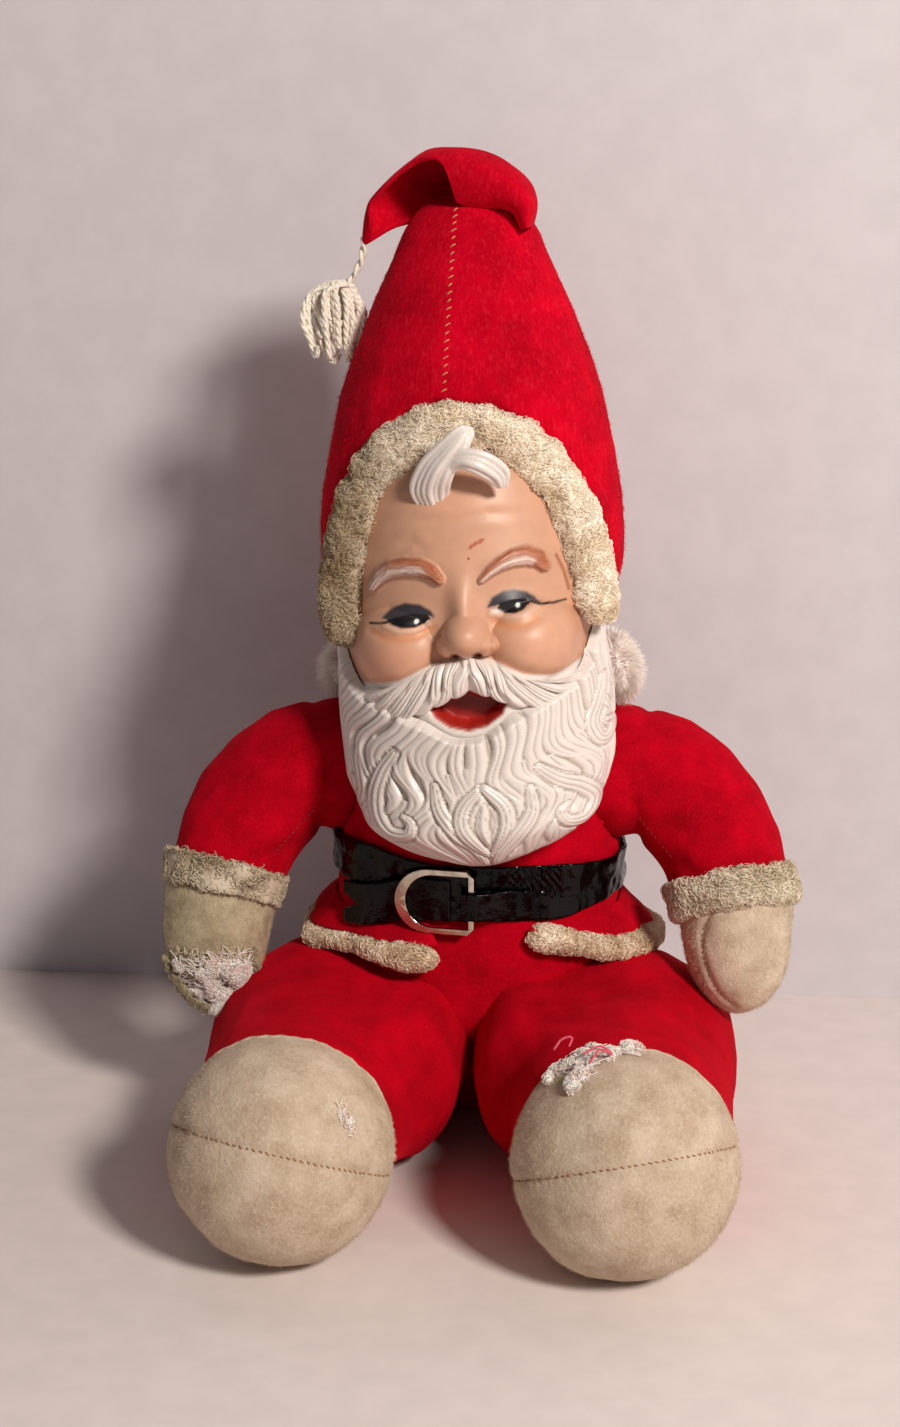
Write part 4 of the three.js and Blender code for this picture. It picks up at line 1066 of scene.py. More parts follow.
@dataclass
class Arm(Doll):
    """A stuffed sleeve with its fleece cuff and mitten."""

    side: Side = Side.LEFT

    @property
    def body(self) -> Body:
        """The body that the arm moves with."""
        return Body.ARM_LEFT if self.side is Side.LEFT else Body.ARM_RIGHT

    def build(self) -> None:
        """Makes the sleeve, the cuff and the mitten."""
        s, word = self.side.value, self.side.word
        sleeve = soft_form(f"sleeve_cloth_{word}", [f"sleeve_{word}"], 2.0, 9, 0.6)
        sculpt(
            sleeve,
            lumps(24, 1.2, 23 + s),
            crease([(s * 70, -28, 150), (s * 92, -30, 146), (s * 112, -22, 152)], 5, 1.1),
            crease([(s * 72, -24, 134), (s * 96, -32, 128), (s * 120, -26, 136)], 4, 1.2),
            crease([(s * 74, 20, 140), (s * 100, 16, 132)], 5, 1.0),
            crease([(s * 66, -24, 176), (s * 70, -26, 150), (s * 72, -20, 122)], 2.2, 1.4),
            lumps(7, 0.2, 29 + s),
        )
        self.piece(sleeve, self.body, self.wardrobe.suit, "red_plush", [f"sleeve_{word}"], fill=0.8)
        skin = Surface(sleeve)
        line = skin.in_front(zip(s * np.linspace(71, 88, 24), np.linspace(150, 131, 24)))
        seam = stitches(f"sleeve_seam_{word}", line, skin, 2.6, 1.3, 0.22, slant=0.9)
        self.piece(seam, self.body, self.wardrobe.red_thread, "yarn")
        worn = self.side is Side.RIGHT
        cuff = soft_form(f"cuff_{word}", [f"cuff_{word}"], 1.6, 5, -2.6 if worn else -1.3)
        sculpt(cuff, lumps(9, 1.1, 31 + s), lumps(4, 0.5, 33 + s))
        pile = Pile(11000, radius=0.9 if worn else 1.25, thickness=0.15 if worn else 0.17, tuft=8, seed=5 + s)
        if worn:
            top = places(cuff)[:, 2].max()
            fringe = Pile(9000, radius=1.5, thickness=0.26, tuft=5, seed=8).grown(
                "cuff_fringe", cuff, lambda p, n: (n[:, 1] < 0.3) & (p[:, 2] > top - 14 + 4 * grain(p, 8, 3)))
            self.piece(fringe, self.body, self.wardrobe.cuff, "cream_fleece")
        fleece = pile_on(f"cuff_fleece_{word}", cuff, pile)
        self.piece(fleece, self.body, self.wardrobe.cuff, "cream_fleece", [f"cuff_{word}"], fill=0.4)
        self.mitten()

    def mitten(self) -> None:
        """Makes the mitten: sound with its thumb seam on one side, torn open on the other."""
        s, word = self.side.value, self.side.word
        mitten = soft_form(f"mitten_plush_{word}", [f"mitten_{word}"], 1.7, 9, 0.9)
        sculpt(mitten, lumps(15, 1.0, 37 + s), lumps(5, 0.25, 41 + s))
        if self.side is Side.LEFT:
            marks = [(103, 112), (100, 103), (101, 92), (107, 79), (116, 70)]
            line = Surface(mitten).in_front(flowing(marks, 40))
            sculpt(mitten, lambda p, _: -1.2 * np.exp(-((from_line(p, line)[0] / 1.4) ** 2)))
            skin = Surface(mitten)
            seam = stitches("mitten_seam_left", line, skin, 2.6, 1.4, 0.24, slant=0.8)
            self.piece(seam, self.body, self.wardrobe.brown_thread, "yarn")
        else:
            p = places(mitten)
            p[:, 2] -= 12.0 * step(p[:, 2], 100, 62)
            move_to(mitten, p)
            sculpt(mitten, lambda p, n: -3.0 * step(p[:, 2], 80, 66) * step(-n[:, 1], 0, 0.5) * (0.7 + grain(p, 7, 2)),
                   crease([(-136, -40, 102), (-118, -50, 107), (-98, -48, 105)], 1.4, 1.3),
                   crease([(-132, -44, 100), (-118, -50, 104), (-100, -48, 102)], 2.0, -0.9))
            self.stuffing(Surface(mitten))
        # The torn mitten on the doll's right takes the darker plush: wear together with painted shade.
        plush = self.wardrobe.hand if self.side is Side.LEFT else self.wardrobe.worn_shaded_hand
        self.piece(mitten, self.body, plush, "cream_plush", [f"mitten_{word}"], fill=0.8)
        nap = Pile(5000, thickness=0.07, length=1.2, lean=(0, 0, -0.5), tuft=5, seed=91 + s)
        fibres = nap.grown(f"mitten_nap_{word}", mitten, lambda p, n: n[:, 1] < 0.4)
        self.piece(fibres, self.body, plush, "cream_plush")

    def stuffing(self, skin: Surface) -> None:
        """White and pinkish stuffing that shows where the mitten is torn, under a loose flap."""
        rng = np.random.default_rng(6)
        spots = np.array([(-128, -44, 82), (-120, -50, 84), (-110, -52, 85), (-100, -50, 84), (-124, -46, 74),
                          (-114, -52, 74), (-103, -51, 74), (-94, -44, 76), (-120, -46, 64), (-109, -50, 63),
                          (-98, -46, 65), (-114, -46, 56), (-104, -46, 56)], float)
        tuft = self.fluff("mitten_stuffing", skin, spots, 6.8, 12)
        self.piece(tuft, self.body, self.wardrobe.stuffing, "cream_fleece")
        rim = flowing(skin.laid(np.array([(-136, -38, 84), (-133, -44, 74), (-126, -46, 64), (-116, -44, 56),
                                          (-106, -42, 52)], float), 1.2), 60)
        border = np.array([(-88, -46, 88), (-86, -42, 78), (-88, -40, 68), (-94, -42, 60)], float)
        right = flowing(skin.laid(border, 0.8), 40)
        wave = 0.4 * np.sin(np.arange(60) * 0.9)
        rolls = [Strand(rim, 2.4 * np.sin(math.pi * np.linspace(0.12, 0.95, 60)) ** 0.4 + wave),
                 Strand(right, 2.0 * np.sin(math.pi * np.linspace(0.08, 0.92, 40)) ** 0.4)]
        roll = strands("mitten_rim_roll", rolls, 2)
        recast(roll, 0.8)
        sculpt(roll, lumps(4, 0.6, 44))
        edge = pile_on("mitten_torn_rim", roll, Pile(3200, radius=0.7, thickness=0.12, tuft=5, seed=45))
        # The torn rim takes the same darker plush: wear together with painted shade.
        self.piece(edge, self.body, self.wardrobe.worn_shaded_hand, "cream_plush")
        flap = skin.laid(np.array([(-116, -46, 55), (-109, -52, 55), (-101, -52, 56), (-93, -48, 60)], float), 2.6)
        scrap = strands("flap_core", [Strand(flowing(flap, 24), np.interp(np.linspace(0, 1, 24), [0, 0.3, 0.8, 1],
                                                                        [1.2, 4.2, 3.6, 2.2]))], 2)
        recast(scrap, 0.8)
        sculpt(scrap, lumps(5, 1.4, 46), lumps(2.4, 0.4, 48))
        flap_piece = pile_on("mitten_flap", scrap, Pile(2600, radius=0.8, thickness=0.1, tuft=5, seed=47))
        self.piece(flap_piece, self.body, self.wardrobe.collar, "cream_fleece")
        rags = []
        for i, x in enumerate(np.linspace(-134, -92, 44)):
            top = skin.laid(np.array([[x, -50, 89 + 2 * math.sin(i * 1.3)]]), 0.6)[0]
            fall = rng.uniform(1, 4)
            rags.append(Strand(np.array([top, top + (0, -1.2, -fall * 0.5), top + (rng.normal() * 1.4, -0.6, -fall)]),
                               np.array([0.5, 0.4, 0.2])))
        self.piece(strands("mitten_torn_edge", rags), self.body, self.wardrobe.cuff, "cream_fleece")


@dataclass
class Belt(Doll):
    """The glossy belt with its fishtail tongue, folded tab and D-shaped buckle."""

    width: float = 25.0
    middle: float = 120.0
    half_wide: float = 64.4
    half_deep: float = 46.4
    set_back: float = 3.0
    power: float = 2.3
    thickness: float = 1.8

    def waist(self, turns: np.ndarray, out: float) -> Points:
        """Places round the waist at some angles from the front, at the belt's middle height."""
        s, c = np.sin(turns), np.cos(turns)
        share = 2 / self.power
        x = (self.half_wide + out) * np.sign(s) * np.abs(s) ** share
        y = self.set_back - (self.half_deep + out) * np.sign(c) * np.abs(c) ** share
        return np.stack([x, y, np.full(len(turns), self.middle)], axis=1)

    def build(self) -> None:
        """Makes the band, the tongue, the tab and the buckle."""
        count, rows = 520, 16
        work = bmesh.new()
        bmesh.ops.create_circle(work, cap_ends=False, radius=1.0, segments=count)
        edges = list(work.edges)
        for _ in range(rows):
            grown = bmesh.ops.extrude_edge_only(work, edges=edges)["geom"]
            fresh = [g for g in grown if isinstance(g, bmesh.types.BMVert)]
            bmesh.ops.translate(work, verts=fresh, vec=(0, 0, 1 / rows))
            edges = [g for g in grown if isinstance(g, bmesh.types.BMEdge)]
        for vert in work.verts:
            turn = math.atan2(vert.co.x, -vert.co.y)
            x, y, z = self.waist(np.array([turn]), 0.9)[0]
            z += (vert.co.z - 0.5) * self.width
            vert.co = Vector((x, y, z)) * MM
        bmesh.ops.recalc_face_normals(work, faces=work.faces)
        band = finished("belt_vinyl", work)
        sculpt(
            band,
            lambda p, _: 0.7 * np.sin((p[:, 2] - self.middle) / self.width * math.pi) ** 2
            + 0.9 * grain(p * (1, 1, 0.35), 7, 2) + 0.4 * grain(p, 3.2, 4)
            + 0.45 * np.sin((p[:, 0] + 0.7 * p[:, 2]) * 2.1 + 2.6 * grain(p, 5, 8))
            * step(np.abs(p[:, 0] - 27), 17, 7) * step(p[:, 2], 112, 122),
            crease([(30, -46, 132), (40, -42, 108)], 1.6, 0.8),
            crease([(50, -38, 131), (46, -40, 112)], 1.4, 0.7),
        )
        with_modifiers(band, [("SOLIDIFY", {"thickness": self.thickness * MM * 0.8, "offset": 0.0}),
                              ("BEVEL", {"width": 0.3 * MM, "segments": 2, "limit_method": "ANGLE"})])
        p = places(band)
        left, ends = step(p[:, 0], -14, -60), step(np.abs(p[:, 0]), 36, 64)
        p[:, 2] = self.middle + (p[:, 2] - self.middle) * (1 - 0.3 * ends) + 7.5 * left + 1.5 * ends
        move_to(band, p)
        self.piece(band, Body.TRUNK, self.wardrobe.belt, "black_vinyl", ["belt_band"])
        for name, node in (("tongue_vinyl", "belt_tongue"), ("tab_vinyl", "belt_tab")):
            strap = soft_form(name, [node], 0.42, 4, 0.12)
            sculpt(strap, lambda p, n: 0.6 * grain(p * (1, 1, 0.4), 4, 6) * np.abs(n[:, 1]))
            p = places(strap)
            p[:, 2] -= 7.5 * step(p[:, 0], -20, -60)
            p[:, 1] -= 2.4 * step(p[:, 0], -24, -46)
            move_to(strap, p)
            self.piece(strap, Body.TRUNK, self.wardrobe.belt, "black_vinyl", [node])
        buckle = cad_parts["belt_buckle"]
        buckle.modifiers.new("Weld", "WELD").merge_threshold = 1e-5
        edge = buckle.modifiers.new("Edge", "BEVEL")
        edge.width, edge.segments = 0.55 * MM, 3
        edge.limit_method, edge.angle_limit = "ANGLE", math.radians(40)
        buckle.data.materials.clear()
        buckle.data.materials.append(self.wardrobe.nickel)


@dataclass
class Skirt(Doll):
    """The jacket's skirt below the belt: a cloth panel each side with a rolled fleece hem."""

    drop: float = 14.0
    around: float = 190.0
    lift: tuple[float, float] = (14.0, 6.0)
    inward: tuple[float, float] = (13.0, 7.0)
    tucked: float = 106.0

    def turned_up(self, obj: bpy.types.Object, side: Side, share: float) -> None:
        """Turns the front corner of a panel or hem up and towards the middle.

        Args:
            obj: The piece.
            side: Its side.
            share: How much of the full turn it gets.
        """
        i = 0 if side is Side.LEFT else 1
        p = places(obj)
        corner = step(p[:, 0] * side.value, 80, 34) * step(p[:, 1], -8, -34)
        corner = corner * step(p[:, 2], self.tucked, self.tucked - 14)
        p[:, 2] += self.lift[i] * corner * share
        p[:, 0] -= side.value * self.inward[i] * corner
        p[:, 1] -= 4.5 * corner
        move_to(obj, p)

    def build(self) -> None:
        """Makes both panels and hems."""
        for side in Side:
            word = side.word
            panel = soft_form(f"skirt_cloth_{word}", [f"skirt_{word}"], 0.8, 10, 0.25)
            sculpt(panel, lambda p, _: 0.5 * grain(p * (1, 1, 0.3), 9, 3))
            self.turned_up(panel, side, 0.8)
            self.piece(panel, Body.TRUNK, self.wardrobe.suit, "red_plush", [f"skirt_{word}"])
            low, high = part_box(f"skirt_{word}")
            grow = 0.9 if side is Side.LEFT else -0.2
            hem = soft_form(f"hem_roll_{word}", [f"hem_trim_{word}"], 1.6, 6, grow)
            sculpt(hem, lumps(10, 1.2, 47 + side.value), lumps(4.5, 0.5, 3))
            self.turned_up(hem, side, 1.0)
            pile = Pile(11000, radius=1.15, thickness=0.17, tuft=7, seed=15 + side.value)
            fleece = pile_on(f"hem_fleece_{word}", hem, pile)
            self.piece(fleece, Body.TRUNK, self.wardrobe.hem, "cream_fleece", [f"hem_trim_{word}"], fill=0.4)
            LOG.info("skirt %s from %.3f to %.3f", word, low.x, high.x)


@dataclass
class Collar(Doll):
    """The roll of long white fur round the neck."""

    def build(self) -> None:
        """Makes the fur collar."""
        base = soft_form("collar_roll", ["collar"], 2.0, 6, 0.6)
        sculpt(base, lumps(12, 1.0, 51), lumps(5, 0.8, 53))
        pile = Pile(26000, thickness=0.17, length=7.0, lean=(0, 0, -0.35), tuft=7, seed=21)
        fur = pile_on("collar_fur", base, pile)
        self.piece(fur, Body.TRUNK, self.wardrobe.collar, "white_fur", ["collar"], fill=0.4)


class FaceFrame:
    """The face's own frame: across, back and up from the middle of the face."""

    origin = np.array([-1.0, -10.0, 240.0])
    turn = np.array(Euler((math.radians(-4), 0, 0)).to_matrix() @ Euler((0, math.radians(-5.5), 0)).to_matrix())

    @classmethod
    def world(cls, points: Points) -> Points:
        """From the face's frame to the doll's."""
        return points @ cls.turn.T + cls.origin


@dataclass
class MaskForm:
    """The mask's plain skin: level sections from the forehead down to the beard's tip.

    The sizes are in millimetres, in the face's own frame.
    """

    forehead: float = 80.0
    beard: float = 106.0
    half_width: float = 58.0
    depth: float = 56.0
    beard_width: float = 58.0
    back: float = -10.0
    lean: float = -2.6
    notch: float = 4.5

    def __post_init__(self) -> None:
        """Works out the sections once."""
        f, b, w, d, bw = self.forehead, self.beard, self.half_width, self.depth, self.beard_width
        rows = np.array([
            (-b, -40, bw * 0.6, d * 0.32), (-b * 0.84, -24, bw * 0.82, d * 0.62), (-b * 0.62, -8, bw - 1, d - 8),
            (-b * 0.4, 0, bw, d), (-f * 0.15, 0, w, d), (f * 0.3, 0, w * 0.96, d), (f * 0.7, 2, w * 0.85, d * 0.94),
            (f, 6, w * 0.78, d * 0.9)])
        self.z = np.linspace(-b, f, 900)
        near = np.exp(-((np.arange(-40, 41) / 14.0) ** 2))
        near /= near.sum()

        def smoothed(column: int) -> np.ndarray:
            """One column of the stations as a smooth run."""
            run = np.interp(self.z, rows[:, 0], rows[:, column])
            return np.convolve(np.pad(run, 40, mode="reflect", reflect_type="odd"), near, mode="valid")

        top = np.clip((f - self.z) / 26, 0, 1)
        low = np.clip((self.z + b) / 22, 0, 1)
        caps = np.sqrt(1 - (1 - top) ** 2) * (1 - (1 - low) ** 1.8) ** (1 / 1.8)
        self.middle, self.wide, self.deep = smoothed(1), smoothed(2) * caps, smoothed(3) * caps

    def section(self, z: np.ndarray) -> tuple[np.ndarray, np.ndarray, np.ndarray]:
        """Middle, half width and half depth at some heights."""
        return tuple(np.interp(z, self.z, run) for run in (self.middle, self.wide, self.deep))

    def on(self, turns: np.ndarray, z: np.ndarray) -> tuple[Points, Points]:
        """Places and normals on the skin at angles from the front and heights."""
        middle, wide, deep = self.section(z)
        s, c = np.sin(turns), np.cos(turns)
        lean = self.lean * step(z, -2, -45)
        normal = np.stack([s / np.maximum(wide, 1), -c / np.maximum(deep, 1), np.zeros_like(z)], axis=1)
        normal /= np.linalg.norm(normal, axis=1)[:, None] + 1e-9
        lean -= self.notch * np.exp(-(((z + 13) / 15) ** 2)) * step(s, 0.55, 1.0)
        return np.stack([wide * s + lean, middle - deep * c, z], axis=1), normal

    def front(self, spots: Points) -> tuple[Points, Points]:
        """Places and normals on the skin straight behind spots given across and up."""
        _, wide, _ = self.section(spots[:, 1])
        across = spots[:, 0] - self.lean * step(spots[:, 1], -2, -45)
        return self.on(np.arcsin(np.clip(across / np.maximum(wide, 1e-3), -1, 1)), spots[:, 1])

    def back_turn(self, z: np.ndarray) -> np.ndarray:
        """The angle at which each level section meets the mask's rear edge."""
        middle, _, deep = self.section(z)
        return np.arccos(np.clip((middle - self.back) / np.maximum(deep, 0.5), -1, 1))


@dataclass
class EyePaint:
    """One painted eye, as outlines across and up in the face's frame."""

    lid: Sequence[tuple[float, float]]
    pupil: Sequence[tuple[float, float]]
    light: tuple[float, float]
    lower: Sequence[tuple[float, float]]
    bag: Sequence[tuple[float, float]]
    lash: Sequence[tuple[float, float]]
    brow: Sequence[tuple[float, float]]
    white: Sequence[tuple[float, float]]
    brow_half: Sequence[float]

    def brow_width(self, along: np.ndarray) -> np.ndarray:
        """Half the brow's width along it."""
        return np.interp(along, np.linspace(0, 1, len(self.brow_half)), self.brow_half)


EYES = (
    EyePaint(
        lid=[(-34.2, 4.4), (-30.6, 7.4), (-24.6, 9.4), (-18.4, 8.6), (-14.2, 6.0), (-13.2, 4.0), (-15.6, 4.8),
             (-22.5, 5.2), (-28.6, 4.2), (-32.1, 3.6)],
        pupil=[(-32.0, 3.2), (-28.6, 4.1), (-22.5, 5.1), (-15.9, 4.7), (-14.8, 3.3), (-17.0, 1.5), (-21.0, 0.5),
               (-26.6, 0.6), (-30.8, 2.0)],
        light=(-20.2, 2.5),
        lower=[(-32.4, 1.3), (-27, -0.5), (-20.7, -0.8), (-15.4, 0.8)],
        bag=[(-38.3, -0.8), (-33, -3.2), (-26.9, -4.2), (-19.9, -3.2), (-14, -0.4)],
        lash=[(-30, 3.3), (-35, 2.5), (-40.6, 2.3)],
        brow=[(-38, 16.6), (-34, 21.2), (-29, 24.2), (-22.5, 25.0), (-16.8, 24.6), (-12.2, 22.4), (-9.2, 19.4)],
        brow_half=(2.6, 3.8, 4.3, 4.4, 4.4, 4.0, 2.6),
        white=[(-15.6, 3.9), (-14.2, 3.9), (-14.8, 2.4), (-16.4, 1.6)],
    ),
    EyePaint(
        lid=[(10, 6.3), (12.1, 9.6), (16.4, 11.6), (20.7, 11.8), (25.5, 10.2), (28.5, 7.7), (31, 5.9), (25.5, 7.8),
             (20.7, 8.0), (16.4, 7.6), (13.0, 6.7)],
        pupil=[(13.4, 5.3), (14.6, 7.1), (20, 8.0), (24.8, 7.7), (26.2, 6.2), (24.0, 4.1), (20.2, 3.0), (15.8, 3.4)],
        light=(21.8, 5.9),
        lower=[(10.6, 3.4), (15.2, 2.1), (20.7, 1.9), (26.5, 3.8), (30, 4.9)],
        bag=[(12.5, -0.2), (17, -1.8), (22.5, -2.0), (29, 0.4)],
        lash=[(26.4, 7.0), (30.8, 5.4), (36, 4.8), (41, 4.9)],
        brow=[(8.4, 17.8), (12.4, 21.0), (17, 23.6), (22, 25.2), (27, 25.4), (31, 23.6), (33.4, 20.4)],
        brow_half=(1.6, 2.5, 3.2, 3.9, 4.5, 4.3, 2.8),
        white=[(10.6, 5.2), (13.2, 5.4), (14.4, 3.6), (12.4, 3.3)],
    ),
)


@dataclass
class Face(Doll):
    """The moulded vinyl mask: skin, painted eyes and brows, open mouth, and the ground of its beard."""

    form: MaskForm | None = None
    mouth: Sequence[tuple[float, float]] = (
        (-19.4, -32.4), (-12, -29.6), (-7.5, -28.6), (-3.2, -26.0), (1.8, -28.6), (7.5, -29.4), (14.8, -33.2),
        (11.6, -38.4), (5.0, -42.6), (-2.8, -44.0), (-10.4, -42.0), (-16.4, -37.6))
    mouth_depth: float = 9.0
    peach: str = "#d6a487"
    white: str = "#e9dfd8"

    def build(self) -> None:
        """Makes the skin of the mask, and the form that the hair lies on."""
        self.form = MaskForm()
        across = np.linspace(-48, 48, 190)
        turns = np.arcsin(across / 60)
        outer = np.linspace(turns[-1], math.radians(80), 17)[1:]
        turns = np.concatenate([-outer[::-1], turns, outer]) / math.radians(80)
        levels = np.concatenate([
            np.linspace(-105.9, -88, 26)[:-1], np.linspace(-88, -16, 78)[:-1], np.linspace(-16, 31, 100)[:-1],
            np.linspace(31, 79.9, 52)])
        work = bmesh.new()
        bmesh.ops.create_grid(work, x_segments=len(turns) - 1, y_segments=len(levels) - 1, size=1.0)
        unit = np.array([v.co[:2] for v in work.verts])
        column = np.rint((unit[:, 0] + 1) / 2 * (len(turns) - 1)).astype(int)
        row = np.rint((unit[:, 1] + 1) / 2 * (len(levels) - 1)).astype(int)
        z = levels[row]
        base, normal = self.form.on(turns[column] * self.form.back_turn(z), z)
        points = self.relief(base, normal)
        for vert, place in zip(work.verts, FaceFrame.world(points) * MM):
            vert.co = place
        bmesh.ops.remove_doubles(work, verts=work.verts, dist=2e-6)
        edges = [e for e in work.edges if e.is_boundary]
        bmesh.ops.holes_fill(work, edges=edges, sides=0)
        bmesh.ops.recalc_face_normals(work, faces=work.faces)
        skin = finished("face_skin", work)
        back = (places(skin) - FaceFrame.origin) @ FaceFrame.turn
        paint(skin, self.colours(back))
        self.piece(skin, Body.HEAD, self.wardrobe.face, "vinyl_face", ["face_mask"])

    @staticmethod
    def dome(p: Points, x: float, z: float, wide: float, high: float, out: float,
             power: float = 0.5) -> np.ndarray:
        """A round swelling of the skin."""
        room = 1 - ((p[:, 0] - x) / wide) ** 2 - ((p[:, 2] - z) / high) ** 2
        return out * np.clip(room, 0, None) ** power

    @staticmethod
    def swell(p: Points, x: float, z: float, wide: float, high: float, out: float) -> np.ndarray:
        """A soft swelling without an edge."""
        return out * np.exp(-(((p[:, 0] - x) / wide) ** 2 + ((p[:, 2] - z) / high) ** 2))

    def relief(self, base: Points, normal: Points) -> Points:
        """Sculpts the skin's features.

        Args:
            base: Places on the plain form.
            normal: The form's normals there.

        Returns:
            The sculpted places.
        """
        flat = base[:, [0, 2]]
        facing = np.clip(-normal[:, 1], 0, 1)
        nose = [
            self.dome(base, -0.4, -4.4, 10.0, 9.4, 14.0, 0.6),
            self.dome(base, -7.6, -8.2, 5.2, 5.0, 8.6, 0.6),
            self.dome(base, 7.2, -8.6, 5.2, 5.0, 8.6, 0.6),
            self.swell(base, -0.2, 4.0, 5.5, 13, 6.0),
        ]
        height = np.log(sum(np.exp(0.8 * part) for part in nose) - (len(nose) - 1)) / 0.8
        height += self.dome(base, -33, -9.0, 19, 17, 9.6, 0.8) + self.dome(base, 28.5, -10, 19, 17, 10.2, 0.8)
        height -= self.dome(base, -4.7, -12.0, 2.4, 1.7, 3.2) + self.dome(base, 3.8, -12.2, 2.4, 1.7, 3.2)
        height += self.swell(base, 0, 46, 34, 16, 1.5)
        for eye in EYES:
            x, z = np.mean(np.array(eye.pupil), axis=0)
            height -= self.swell(base, x, z + 2, 15, 8.5, 3.2)
            height += self.swell(base, x, z + 1.4, 9.5, 5.6, 3.8)
            depth = inside(flat, eye.pupil)
            height -= 0.6 * step(depth, -0.4, 0.8)
            away, _ = from_line(flat, eye.lower)
            height += 0.6 * np.exp(-((away / 1.3) ** 2))
            away, _ = from_line(flat, eye.bag)
            height -= 0.55 * np.exp(-((away / 1.7) ** 2))
            away, along = from_line(flat, eye.brow)
            above = flat[:, 1] - np.interp(flat[:, 0], *np.array(sorted(eye.brow)).T)
            hairs = 0.3 * np.sin(above * 3.1 + 2.4 * grain(base * (0.35, 1, 1), 3, 5))
            thick = eye.brow_width(along) + 0.3
            height += np.clip(1 - (away / thick) ** 2, 0, None) ** 0.7 * (2.8 + hairs)
        for line, deep in (
            ([(-30, 41), (-18, 44.0), (-2, 43.0), (12, 44.5), (28, 42)], 0.5),
            ([(-14, 49), (2, 48.5), (16, 50)], 0.3),
            ([(-26, 33.5), (-19, 34.8), (-13, 32)], 0.5),
            ([(11, -13), (19, -20), (28, -24.2), (37, -24)], 0.7),
            ([(-11, -13), (-18, -18.5), (-28, -22.5), (-40, -23)], 0.6),
            ([(-43, 1), (-46, -4), (-47, -10)], 0.4),
        ):
            away, along = from_line(flat, line)
            fold = np.exp(-((away / 2.0) ** 2)) - 0.5 * np.exp(-(((away - 4.2) / 2.4) ** 2))
            height -= deep * fold * np.sin(math.pi * np.clip(along, 0, 1)) ** 0.7
        height *= step(facing, 0.25, 0.7)
        height += 2.6 * self.moustache_ground(flat)
        beard = self.beard_ground(flat)
        open_ = inside(flat, self.mouth)
        height -= (self.mouth_depth + 1) * step(open_, -0.6, 3.2) * (facing > 0)
        height += 0.4 * np.exp(-(((open_ + 1.8) / 1.6) ** 2)) * step(flat[:, 1], -30, -38)
        way = normal * 0.45 + np.array([0, -0.55, 0])
        way = np.where(beard[:, None] > 0.5, normal, way)
        way /= np.linalg.norm(way, axis=1)[:, None]
        return base + way * height[:, None]

    @staticmethod
    def moustache_ground(flat: Points) -> np.ndarray:
        """1 where the moustache covers the skin."""
        outline = [(0, -13.6), (10, -16), (20, -22), (32, -26), (44, -25.5), (53, -22), (53, -27), (44, -32),
                   (34, -35), (22, -34.5), (12, -31), (5, -28.4), (-3, -25.6), (-9, -28.6), (-17, -31.6), (-28, -35.6),
                   (-40, -36), (-52, -33), (-59, -28), (-52, -26), (-42, -25.6), (-29, -22.6), (-15, -16)]
        return step(inside(flat, outline), -1.2, 2.4)

    @staticmethod
    def beard_ground(flat: Points) -> np.ndarray:
        """1 where the skin is hair: below the mouth's band and up both cheeks' sides."""
        outline = [(-70, 2), (-53, 0), (-54, -14), (-55, -27), (-44, -40), (-26, -44), (-14, -48), (0, -50), (12, -48),
                   (24, -44), (40, -38), (50, -28), (50, -10), (50, 6), (70, 8), (70, -120), (-70, -120)]
        return step(inside(flat, outline), -1.5, 1.5)

    def colours(self, p: Points) -> np.ndarray:
        """Airbrushes the skin, with painted shade under the nose, in the creases of the cheeks and under the eyes and
        inside the mouth, and a painted highlight on the cheek towards the key lamp.

        Args:
            p: Places in the face's frame.

        Returns:
            A linear colour at each place.
        """
        flat = p[:, [0, 2]]
        coat = np.tile(np.array(linear(self.peach))[:3], (len(p), 1))

        def spray(code: str, mask: np.ndarray) -> None:
            """Lays one colour over the others."""
            nonlocal coat
            coat = coat + (np.array(linear(code))[:3] - coat) * np.clip(mask, 0, 1)[:, None]

        def near(line: Sequence[Sequence[float]], half: float, soft: float) -> np.ndarray:
            """1 on a line, falling off past its half width."""
            return step(from_line(flat, line)[0], half + soft, half - soft * 0.2)

        spray("#e8a184", 0.5 * self.swell(p, -35, -12, 12, 10, 1.0))
        # Blush together with a painted highlight: this cheek, towards the key lamp, is sprayed lighter than the other.
        spray("#e6ab8b", 0.5 * self.swell(p, 30, -8, 12, 10, 1.0))
